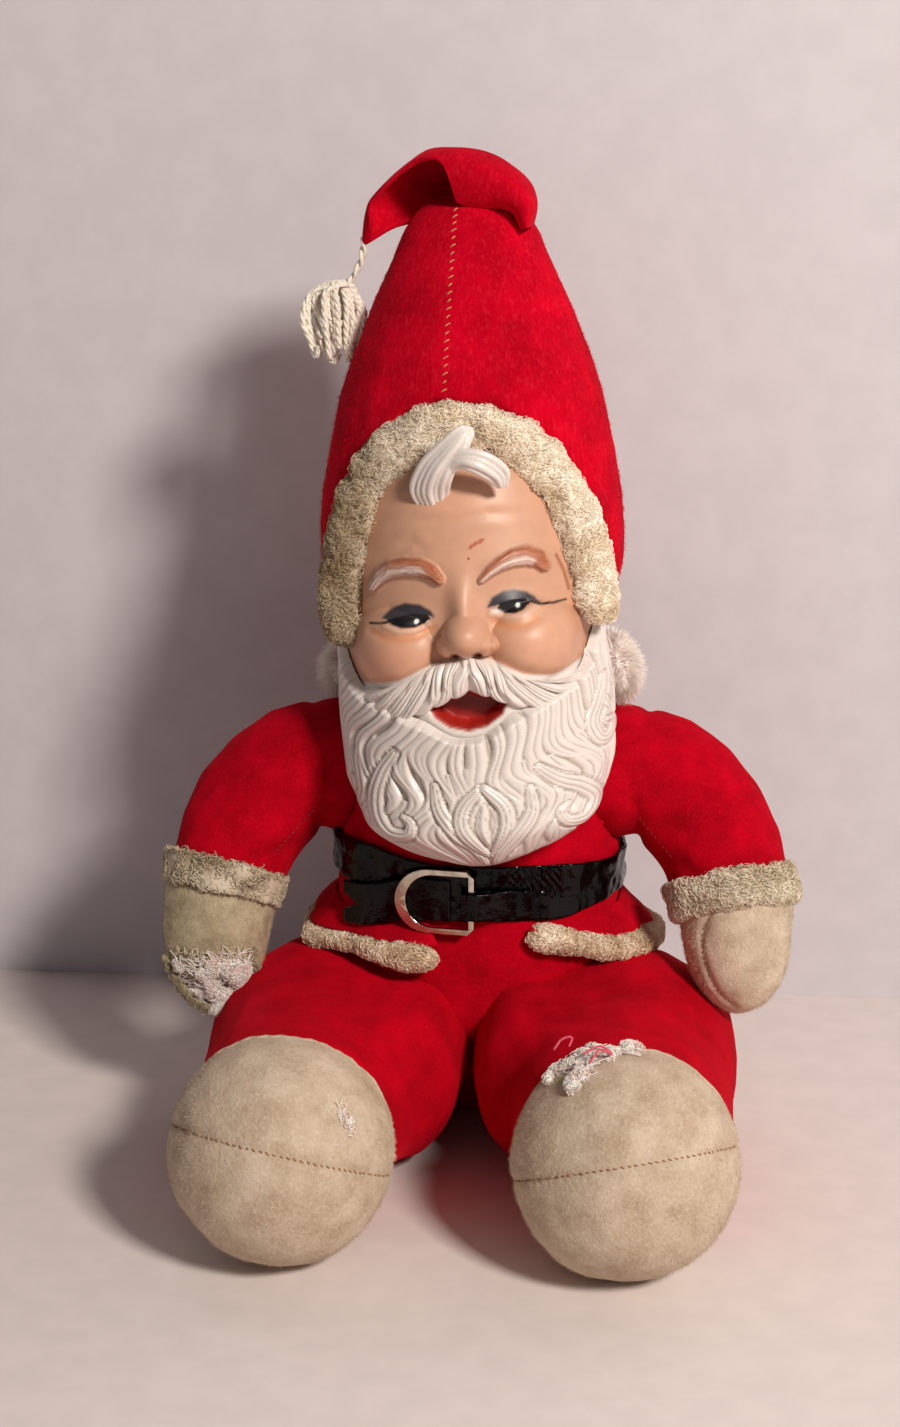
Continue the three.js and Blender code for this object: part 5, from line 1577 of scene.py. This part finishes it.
        # Painted shade: darker orange-brown under the nose, beside its wings and in the creases under the cheeks.
        spray("#c9805c", 0.35 * self.swell(p, 0, -12, 14, 4, 1.0))
        spray("#c98a66", 0.4 * (self.swell(p, -13, -12, 4, 6, 1.0) + self.swell(p, 12, -13, 4, 6, 1.0)))
        spray("#c07a50", 0.5 * near([(11, -12), (19, -19), (28, -23.2), (37, -23.4)], 0.4, 2.6))
        spray("#c07a50", 0.4 * near([(-11, -12), (-18, -17.5), (-28, -21.5), (-40, -22)], 0.4, 2.4))
        spray("#c9825f", 0.35 * near([(-47, 6), (-49, -10), (-52, -24)], 1.5, 4))
        spray("#c9825f", 0.3 * near([(44, 2), (46, -12), (48, -22)], 1.5, 4))
        for eye in EYES:
            sign = -1 if eye.light[0] < 0 else 1
            away, along = from_line(flat, eye.brow)
            thick = eye.brow_width(along)
            brow = step(away, thick + 0.3, thick - 1.0)
            above = (flat[:, 1] - np.interp(flat[:, 0], *np.array(sorted(eye.brow)).T)) / thick
            strokes = 0.5 + 0.5 * np.sin(above * 11 + 2.4 * grain(p * (0.3, 1, 1), 3, 5))
            spray("#c79a80", 0.3 * step(away, 7.5, 3))
            spray("#dfc4b8", brow)
            inner = along if sign < 0 else 1 - along
            auburn = step(above, -0.15, 0.45) * (step(inner, 0.1, 0.45) if sign < 0 else 1.0)
            spray("#bd7048", brow * 0.9 * auburn)
            spray("#bd7048", brow * 0.85 * (step(inner, 0.72, 0.86) if sign < 0 else step(inner, 0.2, 0.1)))
            spray("#984f32", brow * 0.55 * strokes * auburn)
            spray("#9a5638", brow * 0.85 * step(above, -0.4, -0.85))
            spray("#8d4e36", brow * 0.45 * step(strokes, 0.8, 0.98))
            spray("#a3593a", brow * 0.5 * step(above, 0.75, 0.98))
            # Painted shade: a darker orange line in the crease under each eye.
            spray("#e0945f", 0.6 * near(eye.bag, 0.5, 1.9))
            spray("#e6bfa8", 0.7 * near(eye.lower, 0.6, 0.7))
            spray("#8a7874", 0.3 * step(inside(flat, eye.lid), -2.6, 0.5))
            spray("#3a3740", step(inside(flat, eye.lid), -0.35, 0.25))
            spray("#26242b", 0.7 * near([(x, z + 0.2) for x, z in eye.lid[:6]], 0.25, 0.7))
            spray("#e8dcd8", step(inside(flat, eye.white), -0.3, 0.3))
            spray("#0c0c12", step(inside(flat, eye.pupil), -0.3, 0.2))
            half_way = np.mean(eye.pupil, axis=0)[1]
            upper = sorted((q for q in eye.pupil if q[1] > half_way), key=lambda q: q[0])
            spray("#060508", near(upper, 0.35, 0.35))
            spray("#1a1416", near(eye.lash, 0.3, 0.35))
            spray("#ffffff", step(np.hypot(flat[:, 0] - eye.light[0], flat[:, 1] - eye.light[1]), 1.15, 0.7))
        for line in (
            [(-43.5, 20), (-44.5, 12), (-46, 5)], [(-45.5, 24), (-47, 14), (-47.5, 8)], [(-42, 26), (-43, 22)],
            [(38.5, 24), (41, 17), (42.5, 9)], [(41, 26), (43.5, 19)], [(-48, 2), (-49, -6)],
        ):
            spray("#9b5636", 0.75 * near(line, 0.35, 0.7))
        spray("#b5401f", 0.85 * near([(4.6, 31.2), (7, 32.6), (10, 33.8)], 0.45, 0.5))
        spray("#4a2418", near([(3.6, 26.8), (3.7, 26.9)], 0.25, 0.4))
        nostrils = self.swell(p, -4.9, -12.4, 1.7, 1.2, 1.0) + self.swell(p, 4.0, -12.6, 1.7, 1.2, 1.0)
        spray("#8e5239", 0.8 * nostrils)
        below = np.array([(-70, -20), (-57, -25), (-44, -24), (-30, -21.5), (-16, -15.5), (0, -12.6), (11, -15.6),
                          (22, -22), (34, -24.6), (46, -21), (54, -14), (70, -10)])
        hair = step(np.interp(flat[:, 0], *below.T) - flat[:, 1], -0.6, 0.8)
        hair = np.maximum(hair, self.beard_ground(flat))
        spray(self.white, hair)
        open_ = inside(flat, self.mouth)
        spray("#b03c20", 0.9 * step(open_, -0.9, 0.0) * step(flat[:, 1], -35, -39))
        spray("#b0231a", step(open_, -0.2, 0.6))
        # Painted shade: darker red deep inside the mouth and towards its top, under the moustache.
        spray("#650c0e", 0.8 * step(open_, 0.8, 4.5) * step(flat[:, 1], -40, -33))
        return coat


@dataclass
class Hair(Doll):
    """The moulded locks of beard, moustache and forelock."""

    form: MaskForm | None = None
    tiers: Sequence[tuple[float, float, float, int, float]] = (
        (0.55, 1.1, 1.2, 27, 0.047), (0.26, 0.88, 2.3, 27, 0.046), (-0.1, 0.58, 3.2, 28, 0.043))
    curls: Sequence[tuple[Sequence[tuple[float, float]], float, int, float]] = (
        ([(-30, -52), (-36, -60), (-40, -70), (-40, -80), (-35, -87), (-28, -87), (-26, -82), (-29, -79)], 3.9, 3, 2.8),
        ([(26, -62), (33, -68), (42, -73), (47, -80), (43, -87), (36, -87), (33, -82), (36, -79)], 3.6, 3, 2.6),
        ([(53, -30), (50, -40), (47, -48), (50, -56), (55, -56), (56, -51), (53, -49)], 2.9, 3, 2.8),
        ([(-15, -66), (-14, -76), (-8, -86), (-1, -94), (2, -103)], 3.4, 3, 2.6),
        ([(2.5, -68), (-4.5, -76), (-5.5, -84), (-1, -92), (4, -98)], 3.2, 3, 3.0),
        ([(4.5, -68), (11.5, -76), (12.5, -84), (9, -92), (5, -98)], 3.2, 3, 3.0),
        ([(3.6, -76), (2.6, -84), (4.2, -92)], 2.6, 2, 2.6),
        ([(22, -70), (22, -80), (15, -90), (8, -98), (5, -104)], 3.2, 3, 3.0),
    )
    white: str = "#ece3dd"
    # Grey laid in the grooves as painted shade.
    groove: str = "#a8998c"
    dirt: str = "#8a6a48"

    @staticmethod
    def carving(flow: np.ndarray, run: np.ndarray, locks: int, seed: int) -> np.ndarray:
        """Height of carved locks: bundles of strands, each lock with a deep groove beside it.

        Args:
            flow: Place across the locks, from 0 to 1.
            run: Place along them, from 0 to 1.
            locks: How many locks lie side by side.
            seed: Which set of bends.

        Returns:
            Heights in millimetres, from about -1 to 3.
        """
        at = np.clip(flow, 0, 0.9999) * locks
        lock = np.floor(at)
        u = at - lock
        luck = np.random.default_rng(seed).random((locks, 4))[lock.astype(int)]
        bend = 0.26 * np.sin(2 * math.pi * (1.35 * run + luck[:, 0])) * np.sin(math.pi * u)
        number = 2 + np.rint(luck[:, 1] * 1.4)
        strand = np.abs(np.sin(math.pi * number * np.clip(u + bend, 0, 1))) ** 0.6
        edge = np.sin(math.pi * u) ** 0.45
        saw = (2.3 * run + luck[:, 2] + 0.3 * (2 * u - 1) ** 2) % 1.0
        saw = np.where(saw < 0.9, saw / 0.9, (1 - saw) / 0.1)
        return 1.5 * edge + 0.85 * strand * (0.35 + 0.65 * edge) + 1.3 * (saw - 0.5)

    def cast(self, name: str, columns: int, rows: int,
             place: Callable[[np.ndarray, np.ndarray], Points]) -> bpy.types.Object:
        """Casts a sheet of carved hair over a grid.

        Args:
            name: The piece's name.
            columns: Steps across the strands.
            rows: Steps along the strands.
            place: Gives places in the face's frame for places across and along, from 0 to 1.

        Returns:
            The new object.
        """
        work = bmesh.new()
        bmesh.ops.create_grid(work, x_segments=columns, y_segments=rows, size=0.5)
        unit = np.array([v.co[:2] for v in work.verts]) + 0.5
        for vert, spot in zip(work.verts, FaceFrame.world(place(unit[:, 0], unit[:, 1])) * MM):
            vert.co = spot
        obj = finished(name, work)
        with_modifiers(obj, [("SMOOTH", {"factor": 0.5, "iterations": 1})])
        facing = np.mean(places(obj, "normal")[:, 1])
        if facing > 0:
            obj.data.flip_normals()
        self.tint(obj)
        return obj

    def beard_place(self, across: np.ndarray, run: np.ndarray) -> Points:
        """The beard's carved skin, from cheeks and mouth out to its rim."""
        a = 2 * across - 1
        far = np.abs(a)
        turn = np.radians(88 * a * (1 - run) + 87 * np.sign(a) * np.clip(far / 0.5, 0, 1) * run)
        top = np.minimum(-46.8 + 57 * far**1.8 + 4.5 * step(far, 0.04, 0.22) * step(far, 0.62, 0.36), -1.0)
        low = -105 + 45 * far**2.2
        z = top + (low - top) * run
        base, normal = self.form.on(turn, z)
        height = np.full(len(a), 2.7)
        rng = np.random.default_rng(17)
        for begin, end, lift, count, half in self.tiers:
            for k in range(count):
                luck = rng.random(6) - 0.5
                root = -1 + 2 * (k + 0.5 + 0.5 * luck[0]) / count
                first, last = begin + 0.12 * luck[1], end + 0.2 * luck[2]
                t = np.clip((run - first) / (last - first), 0, 1)
                phase = 0.3 * math.sin(3.2 * root) + 0.12 * luck[3] + 0.02
                sway = 0.074 * math.tanh(root / 0.12) * (1 - 0.35 * abs(root))
                wave = np.sin(2 * math.pi * (1.9 * run + phase))
                middle = root * (1 + 0.08 * t) + sway * wave * (0.35 + 0.65 * t)
                middle += 0.036 * luck[4] * t**2
                taper = np.interp(t, [0, 0.12, 0.5, 0.82, 1], [0.6, 1, 1, 0.62, 0.08])
                wide = half * (1 + 0.7 * luck[5]) * taper
                q = (a - middle) / wide
                number = 2 if luck[5] < 0.15 else 3
                ridge = np.abs(np.sin(math.pi * number * np.clip((q + 1) / 2, 0, 1))) ** 0.6
                dome = 2.2 * np.sqrt(np.clip(1 - q * q, 0, 1))
                rise = lift * (1 - 0.3 * t) + dome + 0.85 * ridge * (1 - 0.7 * t**3)
                here = (np.abs(q) < 1) & (run >= first) & (run <= last)
                height = np.where(here & (rise > height), rise, height)
        flat = base[:, [0, 2]] - (self.form.lean, 0)
        for line, wide, number, lift in self.curls:
            away, along = from_line(flat, flowing(line, 40))
            room = wide * np.sin(math.pi * np.clip(0.12 + 0.84 * along, 0, 1)) ** 0.5
            q = away / np.maximum(room, 0.1)
            ridge = np.abs(np.cos(math.pi * number * 0.5 * np.clip(q, 0, 1))) ** 0.6
            rise = lift + 1.7 * np.sqrt(np.clip(1 - q * q, 0, 1)) + 0.85 * ridge
            height -= 0.7 * np.exp(-(((q - 1.14) / 0.16) ** 2))
            height = np.where((q < 1) & (rise > height - 1.5), rise, height)
        height = np.maximum(height, 2.2) * (1 - 0.45 * step(np.abs(np.degrees(turn)), 58, 84))
        height *= np.sqrt(1 - np.clip((run - 0.93) / 0.07, 0, 1) ** 2) * step(run, -0.02, 0.05)
        height *= np.sqrt(1 - np.clip((far - 0.975) / 0.025, 0, 1) ** 2)
        return base + normal * (height - 0.25)[:, None]

    def moustache_place(self, way: int) -> Callable[[np.ndarray, np.ndarray], Points]:
        """One half of the moustache: strands that fall from under the nose and sweep out to the tip."""
        if way < 0:
            top = [(0.0, -13.0), (5, -14.4), (11, -15.2), (16, -16.8), (22, -19.8), (28, -22.6)]
            low = [(0.4, -26.4), (6, -29.0), (12, -31.2), (20, -34.8), (29, -37.0), (38, -37.0), (47, -34.2),
                   (58, -28.8)]
        else:
            top = [(0.0, -13.0), (5, -14.8), (10, -16.8), (15, -19.8), (20, -23.2), (25, -25.4)]
            low = [(0.4, -26.4), (5.5, -29.2), (11, -31.8), (18, -34.8), (26, -36.4), (34, -35.6), (43, -31.8),
                   (53, -23.8)]
        starts, ends = flowing(top, 80), flowing(low, 80)

        def place(across: np.ndarray, run: np.ndarray) -> Points:
            """Places of this half."""
            i = across if way > 0 else 1 - across
            pick = np.linspace(0, 1, 80)
            scallop = 1.5 * np.abs(np.sin(math.pi * 7 * i)) ** 0.7
            start = np.stack([np.interp(i, pick, starts[:, k]) for k in (0, 1)], axis=1)
            end = np.stack([np.interp(i, pick, ends[:, k]) for k in (0, 1)], axis=1)
            end[:, 1] -= scallop * step(i, 1.0, 0.7)
            long = np.linalg.norm(end - start, axis=1)[:, None]
            leave = np.stack([0.05 + 0.9 * i, -1 + 0.7 * i], axis=1)
            arrive = np.stack([np.interp(i, [0, 0.3, 0.6, 1], [0.15, 0.75, 1.0, 0.95]),
                               np.interp(i, [0, 0.3, 0.6, 1], [-1.0, -0.7, -0.15, 0.25])], axis=1)
            t = run[:, None]
            flat = ((1 - t) ** 3 * start + 3 * (1 - t) ** 2 * t * (start + leave * long * 0.36)
                    + 3 * (1 - t) * t**2 * (end - arrive * long * 0.36) + t**3 * end)
            base, normal = self.form.front(flat * (way, 1))
            bulge = np.sin(math.pi * np.clip(0.07 + 0.9 * run, 0, 1)) ** 0.55 * (1 - 0.5 * i**3 * run)
            sweep = i + 0.035 * np.sin(2 * math.pi * (run * 0.9 + 2.1 * i)) * (1 - i)
            height = (4.6 + 1.05 * self.carving(sweep, run * 0.35, 7, 3)) * bulge
            height *= np.sqrt(1 - np.clip((run - 0.95) / 0.05, 0, 1) ** 2)
            height *= 1 - 0.5 * np.exp(-((i / 0.035) ** 2)) * run
            out = normal * 0.75 + np.array([0, -0.35, 0])
            return base + out / np.linalg.norm(out, axis=1)[:, None] * (height - 0.2)[:, None]

        return place

    def moulded(self, name: str, locks: Sequence[Strand], voxel: float, rounds: int) -> bpy.types.Object:
        """Casts locks into one moulded piece, painted darker in its grooves as shade."""
        obj = strands(name, locks, 2)
        recast(obj, voxel, rounds)
        self.tint(obj)
        return obj

    def tint(self, obj: bpy.types.Object) -> None:
        """Paints hair white, with painted shade greying its grooves and brown soil at one edge."""
        deep = hollows(obj, 4)
        coat = np.tile(np.array(linear(self.white))[:3], (len(deep), 1))
        # Painted shade: the grooves are greyed as deep as they lie.
        groove = np.array(linear(self.groove))[:3]
        coat += (groove - coat) * (0.7 * step(deep, 0.0, 0.2))[:, None]
        p = places(obj)
        stain = step(grain(p, 9, 3), 0.1, 0.6) * step(p[:, 0], -30, -56) * step(deep, -0.05, 0.1)
        coat += (np.array(linear(self.dirt))[:3] - coat) * (0.75 * stain)[:, None]
        paint(obj, coat)

    def forelock(self) -> list[Strand]:
        """The curl on the forehead: a wave that rises to a hooked tip, and a lock that falls to the side."""
        rise = np.array([(-9.0, -50.5, 48.5), (-9.8, -55.5, 55.5), (-6.5, -60, 62.5), (-1.5, -62.5, 68.5),
                         (3.6, -63.5, 73.4), (7.4, -62.5, 77.4), (10.4, -60, 77.8)])
        fall = np.array([(-3, -60, 64), (3.5, -63.5, 67.2), (9.5, -65.5, 66.6), (15.2, -64.5, 63.6),
                         (19.4, -61.5, 59.4), (20.0, -58, 54.6)])
        locks = []
        for line, spread, number, radius in (
            (rise, [5.4, 7.0, 6.2, 4.9, 4.2, 3.0, 0.9], 7, 1.75),
            (fall, [3.0, 2.6, 3.2, 3.6, 3.4, 1.6], 4, 1.75),
        ):
            along = np.gradient(line[:, [0, 2]], axis=0)
            along /= np.linalg.norm(along, axis=1)[:, None]
            beside = np.stack([-along[:, 1], np.zeros(len(line)), along[:, 0]], axis=1)
            for i in range(number):
                s = 2 * i / (number - 1) - 1
                shift = beside * (np.array(spread) * s)[:, None]
                round_back = np.array([0, 1, 0]) * (np.array(spread) * 0.42 * s * s)[:, None]
                path = FaceFrame.world(flowing(line + shift + round_back, 22))
                share = np.linspace(0, 1, 22)
                taper = np.sin(math.pi * (0.1 + 0.84 * share)) ** 0.5
                radii = radius * (0.85 + 0.25 * math.sin(i * 2.4)) * taper
                locks.append(Strand(path, radii))
        return locks

    def build(self) -> None:
        """Makes the beard, the moustache and the forelock."""
        body, slot = Body.HEAD, "vinyl_face"
        self.piece(self.cast("beard", 420, 170, self.beard_place), body, self.wardrobe.hair, slot)
        halves = [self.cast(f"half_{way}", 190, 80, self.moustache_place(way)) for way in (-1, 1)]
        self.piece(joined("moustache", *halves), body, self.wardrobe.hair, slot)
        self.piece(self.moulded("forelock", self.forelock(), 0.38, 1), body, self.wardrobe.hair, slot)


@dataclass
class Head(Doll):
    """The stuffed back of the head and the fleece round the face."""

    def build(self) -> None:
        """Makes the head's back and the trim."""
        back = soft_form("head_back", ["head_core"], 2.2, 8, 0.3)
        sculpt(back, lambda p, _: -6.5 * step(p[:, 1], -10, -24), lumps(16, 0.5, 61))
        self.piece(back, Body.HEAD, self.wardrobe.suit, "red_plush", ["head_core"], fill=0.9)
        base = soft_form("trim_base", ["face_trim"], 1.7, 6, -0.4)
        sculpt(base, lumps(7, 1.7, 63), lumps(3.4, 1.0, 65))
        pile = Pile(16000, radius=1.15, thickness=0.16, tuft=8, seed=25)
        fleece = pile_on("face_fleece", base, pile, lambda p, n: n[:, 1] < 0.5)
        self.piece(fleece, Body.HEAD, self.wardrobe.trim, "cream_fleece", ["face_trim"], fill=0.4)


@dataclass
class Hat(Doll):
    """The tall stuffed hat with its front seam, empty folded tip and yarn tassel."""

    cloth: float = 1.7

    def build(self) -> None:
        """Makes the crown, the tip and the tassel."""
        crown = soft_form("hat_crown_plush", ["hat_crown"], 2.2, 9, 0.5)
        sculpt(
            crown,
            lumps(32, 1.0, 71),
            crease([(-10, -24, 412), (-11, -36, 372), (-11.5, -46, 336)], 2.0, 1.0),
            crease([(-58, -20, 300), (-40, -44, 306), (-22, -52, 320)], 8, 0.9),
            crease([(24, -44, 352), (40, -34, 348), (50, -20, 352)], 5, 0.9),
            crease([(28, -16, 404), (14, -22, 398), (2, -24, 404)], 3, 1.6),
            crease([(20, -50, 330), (40, -44, 318), (54, -30, 300)], 5, 0.8),
            lumps(7, 0.2, 73),
        )
        self.piece(crown, Body.HEAD, self.wardrobe.hat, "red_plush", ["hat_crown"], fill=0.85)
        skin = Surface(crown)
        line = skin.in_front(zip(np.linspace(-9.8, -12.0, 30), np.linspace(409, 334, 30)))
        seam = stitches("hat_seam", line, skin, 3.4, 1.2, 0.24, slant=2.0)
        self.piece(seam, Body.HEAD, self.wardrobe.tan_thread, "yarn")
        nap = Pile(15000, thickness=0.07, length=1.5, lean=(0, 0, -0.9), tuft=10, seed=75)
        fibres = nap.grown("hat_nap", crown, lambda p, n: n[:, 1] < 0.4)
        self.piece(fibres, Body.HEAD, self.wardrobe.hat, "red_plush")
        self.tip()
        self.tassel()

    def tip(self) -> None:
        """The empty tip: cloth that arches to the side, open towards the front and hollow inside."""
        spine = flowing([(20, 2, 400), (19, 2, 410), (12, 2, 418), (-4, 2, 424), (-18, 2, 424), (-31, 2, 417),
                         (-42, 2, 406), (-49.5, 2, 393)], 56)
        share = np.linspace(0, 1, 56)
        out = np.interp(share, [0, 0.12, 0.35, 0.55, 0.85, 1], [2, 5, 8, 8.5, 6.5, 1.2])
        deep = np.interp(share, [0, 0.1, 0.3, 0.6, 0.85, 1], [18, 20, 21, 19, 11, 1.5])
        front = np.interp(share, [0, 0.3, 0.44, 0.52, 0.6, 0.85, 1], [150, 150, 140, 62, 40, 26, 150])
        rear = np.interp(share, [0, 0.3, 0.8, 0.92, 1], [150, 150, 148, 140, 150])
        inner = np.interp(share, [0, 0.15, 0.3, 0.5, 0.75, 0.9, 1], [4, 12, 17, 20, 17, 8, 1.2])
        columns = 41
        work = bmesh.new()
        bmesh.ops.create_grid(work, x_segments=columns - 1, y_segments=len(share) - 1, size=1.0)
        along = np.gradient(spine, axis=0)
        along /= np.linalg.norm(along, axis=1)[:, None]
        outward = np.cross((0, 1, 0), along)
        outward *= np.sign(outward[28, 2])
        for vert in work.verts:
            k = round((vert.co.y + 1) / 2 * (len(share) - 1))
            j = (vert.co.x + 1) / 2
            turn = math.radians(-front[k] + (front[k] + rear[k]) * j)
            ripple = 1 + 0.06 * math.sin(turn * 3 + share[k] * 9)
            reach = (out[k] if math.cos(turn) > 0 else inner[k]) * math.cos(turn) * ripple
            place = spine[k] + outward[k] * reach + np.array([0, 1, 0]) * deep[k] * math.sin(turn)
            vert.co = Vector(place) * MM
        bmesh.ops.recalc_face_normals(work, faces=work.faces)
        area = sum(face.calc_area() for face in work.faces)
        tip = finished("hat_tip_cloth", work)
        with_modifiers(tip, [("SUBSURF", {"levels": 1, "render_levels": 1}),
                             ("SOLIDIFY", {"thickness": self.cloth * MM, "offset": -1.0})])
        sculpt(tip, lumps(12, 0.7, 77))
        tip.data.materials.append(self.wardrobe.hat)
        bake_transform(tip)
        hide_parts("hat_tip")

    def tassel(self) -> None:
        """The twisted tie and the bundle of plied yarn loops."""
        rng = np.random.default_rng(31)
        top = np.array([-49.6, 2.0, 395.5])
        knot = np.array([-57.0, 5.0, 375.5])
        turns = np.linspace(0, 11, 34)
        core = flowing([top, (top + knot) / 2 + (2.0, 0, 0), knot], 34)
        plies = [Strand(core + 0.8 * np.stack([np.cos(turns + p), np.sin(turns + p), 0 * turns], axis=1),
                        np.full(34, 0.9)) for p in (0.0, math.pi)]
        self.piece(strands("tassel_tie_yarn", plies, 1), Body.TASSEL, self.wardrobe.yarn, "yarn", ["tassel_tie"])
        loops = []
        for i in range(26):
            turn = 2 * math.pi * i / 26 * 5.1
            wide = 4.0 + 7.5 * ((i * 0.37) % 1)
            crest = np.array([-64 + wide * 0.95 * math.cos(turn), 8 + wide * 0.75 * math.sin(turn),
                              378 - 0.6 * wide])
            bulge = crest + (2.4 * math.cos(turn) + rng.uniform(-2, 2), 1.4 * math.sin(turn), rng.uniform(-13, -6))
            foot = np.array([-62.5 + wide * 0.85 * math.cos(turn), 8 + wide * 0.7 * math.sin(turn),
                             342 + rng.uniform(-1, 12)])
            back = foot + (rng.uniform(-3, 3), rng.uniform(-2, 2), rng.uniform(3, 9))
            stations = [knot, (knot + crest) / 2 + (0, 0, 1.5), crest, bulge, (foot + bulge) / 2, foot, back]
            path = flowing(stations, 24)
            spin = np.linspace(0, 24, 24)
            for phase in (0.0, 2.1, 4.2):
                twist = 0.75 * np.stack([np.cos(spin + phase), np.sin(spin + phase), 0 * spin], axis=1)
                loops.append(Strand(path + twist, np.full(24, 0.8)))
        self.piece(strands("tassel_yarn", loops, 1), Body.TASSEL, self.wardrobe.yarn, "yarn", ["tassel"])


@dataclass(frozen=True)
class Studio:
    """The plain floor and wall, the lamps and the camera."""

    camera: tuple[float, float, float] = (0.0655, -0.8977, 0.430)
    azimuth: float = 5.0
    downward: float = 15.0
    lens: float = 52.8
    wall_y: float = 0.143
    half: float = 3.0
    cloud: float = 1000 / 60

    def paper(self, name: str, colour: str, see_through: bool) -> bpy.types.Material:
        """A matt painted surface, which may be seen through from behind."""
        r = Recipe(name)
        cloud = r.noise(r.place(), self.cloud, 4.0)
        shade = tuple(c * 0.96 for c in linear(colour)[:3]) + (1.0,)
        tone = r.add("ShaderNodeValToRGB", {"stops": [(0.4, shade), (0.6, linear(colour))]}, {0: cloud})
        matt = r.add("ShaderNodeBsdfPrincipled", None,
                     {"Base Color": tone.outputs[0], "Roughness": 0.75, "Specular IOR Level": 0.25})
        if not see_through:
            return r.done(matt)
        clear = r.add("ShaderNodeBsdfTransparent")
        rear = r.add("ShaderNodeNewGeometry").outputs["Backfacing"]
        return r.done(r.add("ShaderNodeMixShader", None, {0: rear, 1: matt.outputs[0], 2: clear.outputs[0]}))

    def build(self) -> None:
        """Makes the stage, the light and the camera."""
        scene = bpy.context.scene
        data = bpy.data.cameras.new("camera")
        data.lens, data.sensor_width = self.lens, 36.0
        camera = bpy.data.objects.new("camera", data)
        camera.location = self.camera
        camera.rotation_euler = (math.radians(90 - self.downward), 0, math.radians(self.azimuth))
        scene.collection.objects.link(camera)
        scene.camera = camera
        for name, turned, colour in (("floor", False, "#e9dfdc"), ("wall", True, "#d8d4d9")):
            work = bmesh.new()
            bmesh.ops.create_grid(work, x_segments=1, y_segments=1, size=self.half)
            shift = (0, self.wall_y - self.half, 0)
            if turned:
                upright = Euler((math.pi / 2, 0, 0)).to_matrix()
                bmesh.ops.rotate(work, verts=work.verts, cent=(0, 0, 0), matrix=upright)
                shift = (0, self.wall_y, self.half)
            bmesh.ops.translate(work, verts=work.verts, vec=shift)
            sheet = finished(name, work, smooth=False)
            sheet.data.materials.append(self.paper(f"{name}_paint", colour, turned))
        for name, place, size, power, colour in (
            ("key", (0.96, -1.26, 1.22), 0.3, 32.5, "#fff6ec"),
            ("fill", (-1.2, -1.3, 0.9), 1.6, 0.55, "#f4f2ff"),
        ):
            lamp = bpy.data.lights.new(name, "AREA")
            lamp.size, lamp.energy, lamp.color = size, power, linear(colour)[:3]
            holder = bpy.data.objects.new(name, lamp)
            holder.location = place
            holder.rotation_euler = (Vector((0, 0, 0.2)) - Vector(place)).to_track_quat("-Z", "Y").to_euler()
            scene.collection.objects.link(holder)
        world = bpy.data.worlds.new("room")
        world.use_nodes = True
        world.node_tree.nodes["Background"].inputs[0].default_value = linear("#e2dedf")
        world.node_tree.nodes["Background"].inputs[1].default_value = 0.1
        scene.world = world
        scene.view_settings.view_transform = "Standard"


def main() -> None:
    """Builds the doll, piece by piece, and the studio round it."""
    logging.basicConfig(level=logging.INFO, format="%(name)s %(message)s")
    Studio().build()
    wardrobe = Wardrobe()
    Trunk(wardrobe).build()
    for side in Side:
        Leg(wardrobe, side=side).build()
        Arm(wardrobe, side=side).build()
    Belt(wardrobe).build()
    Skirt(wardrobe).build()
    Collar(wardrobe).build()
    face = Face(wardrobe)
    face.build()
    Hair(wardrobe, form=face.form).build()
    Head(wardrobe).build()
    Hat(wardrobe).build()


if __name__ == "__main__":
    main()
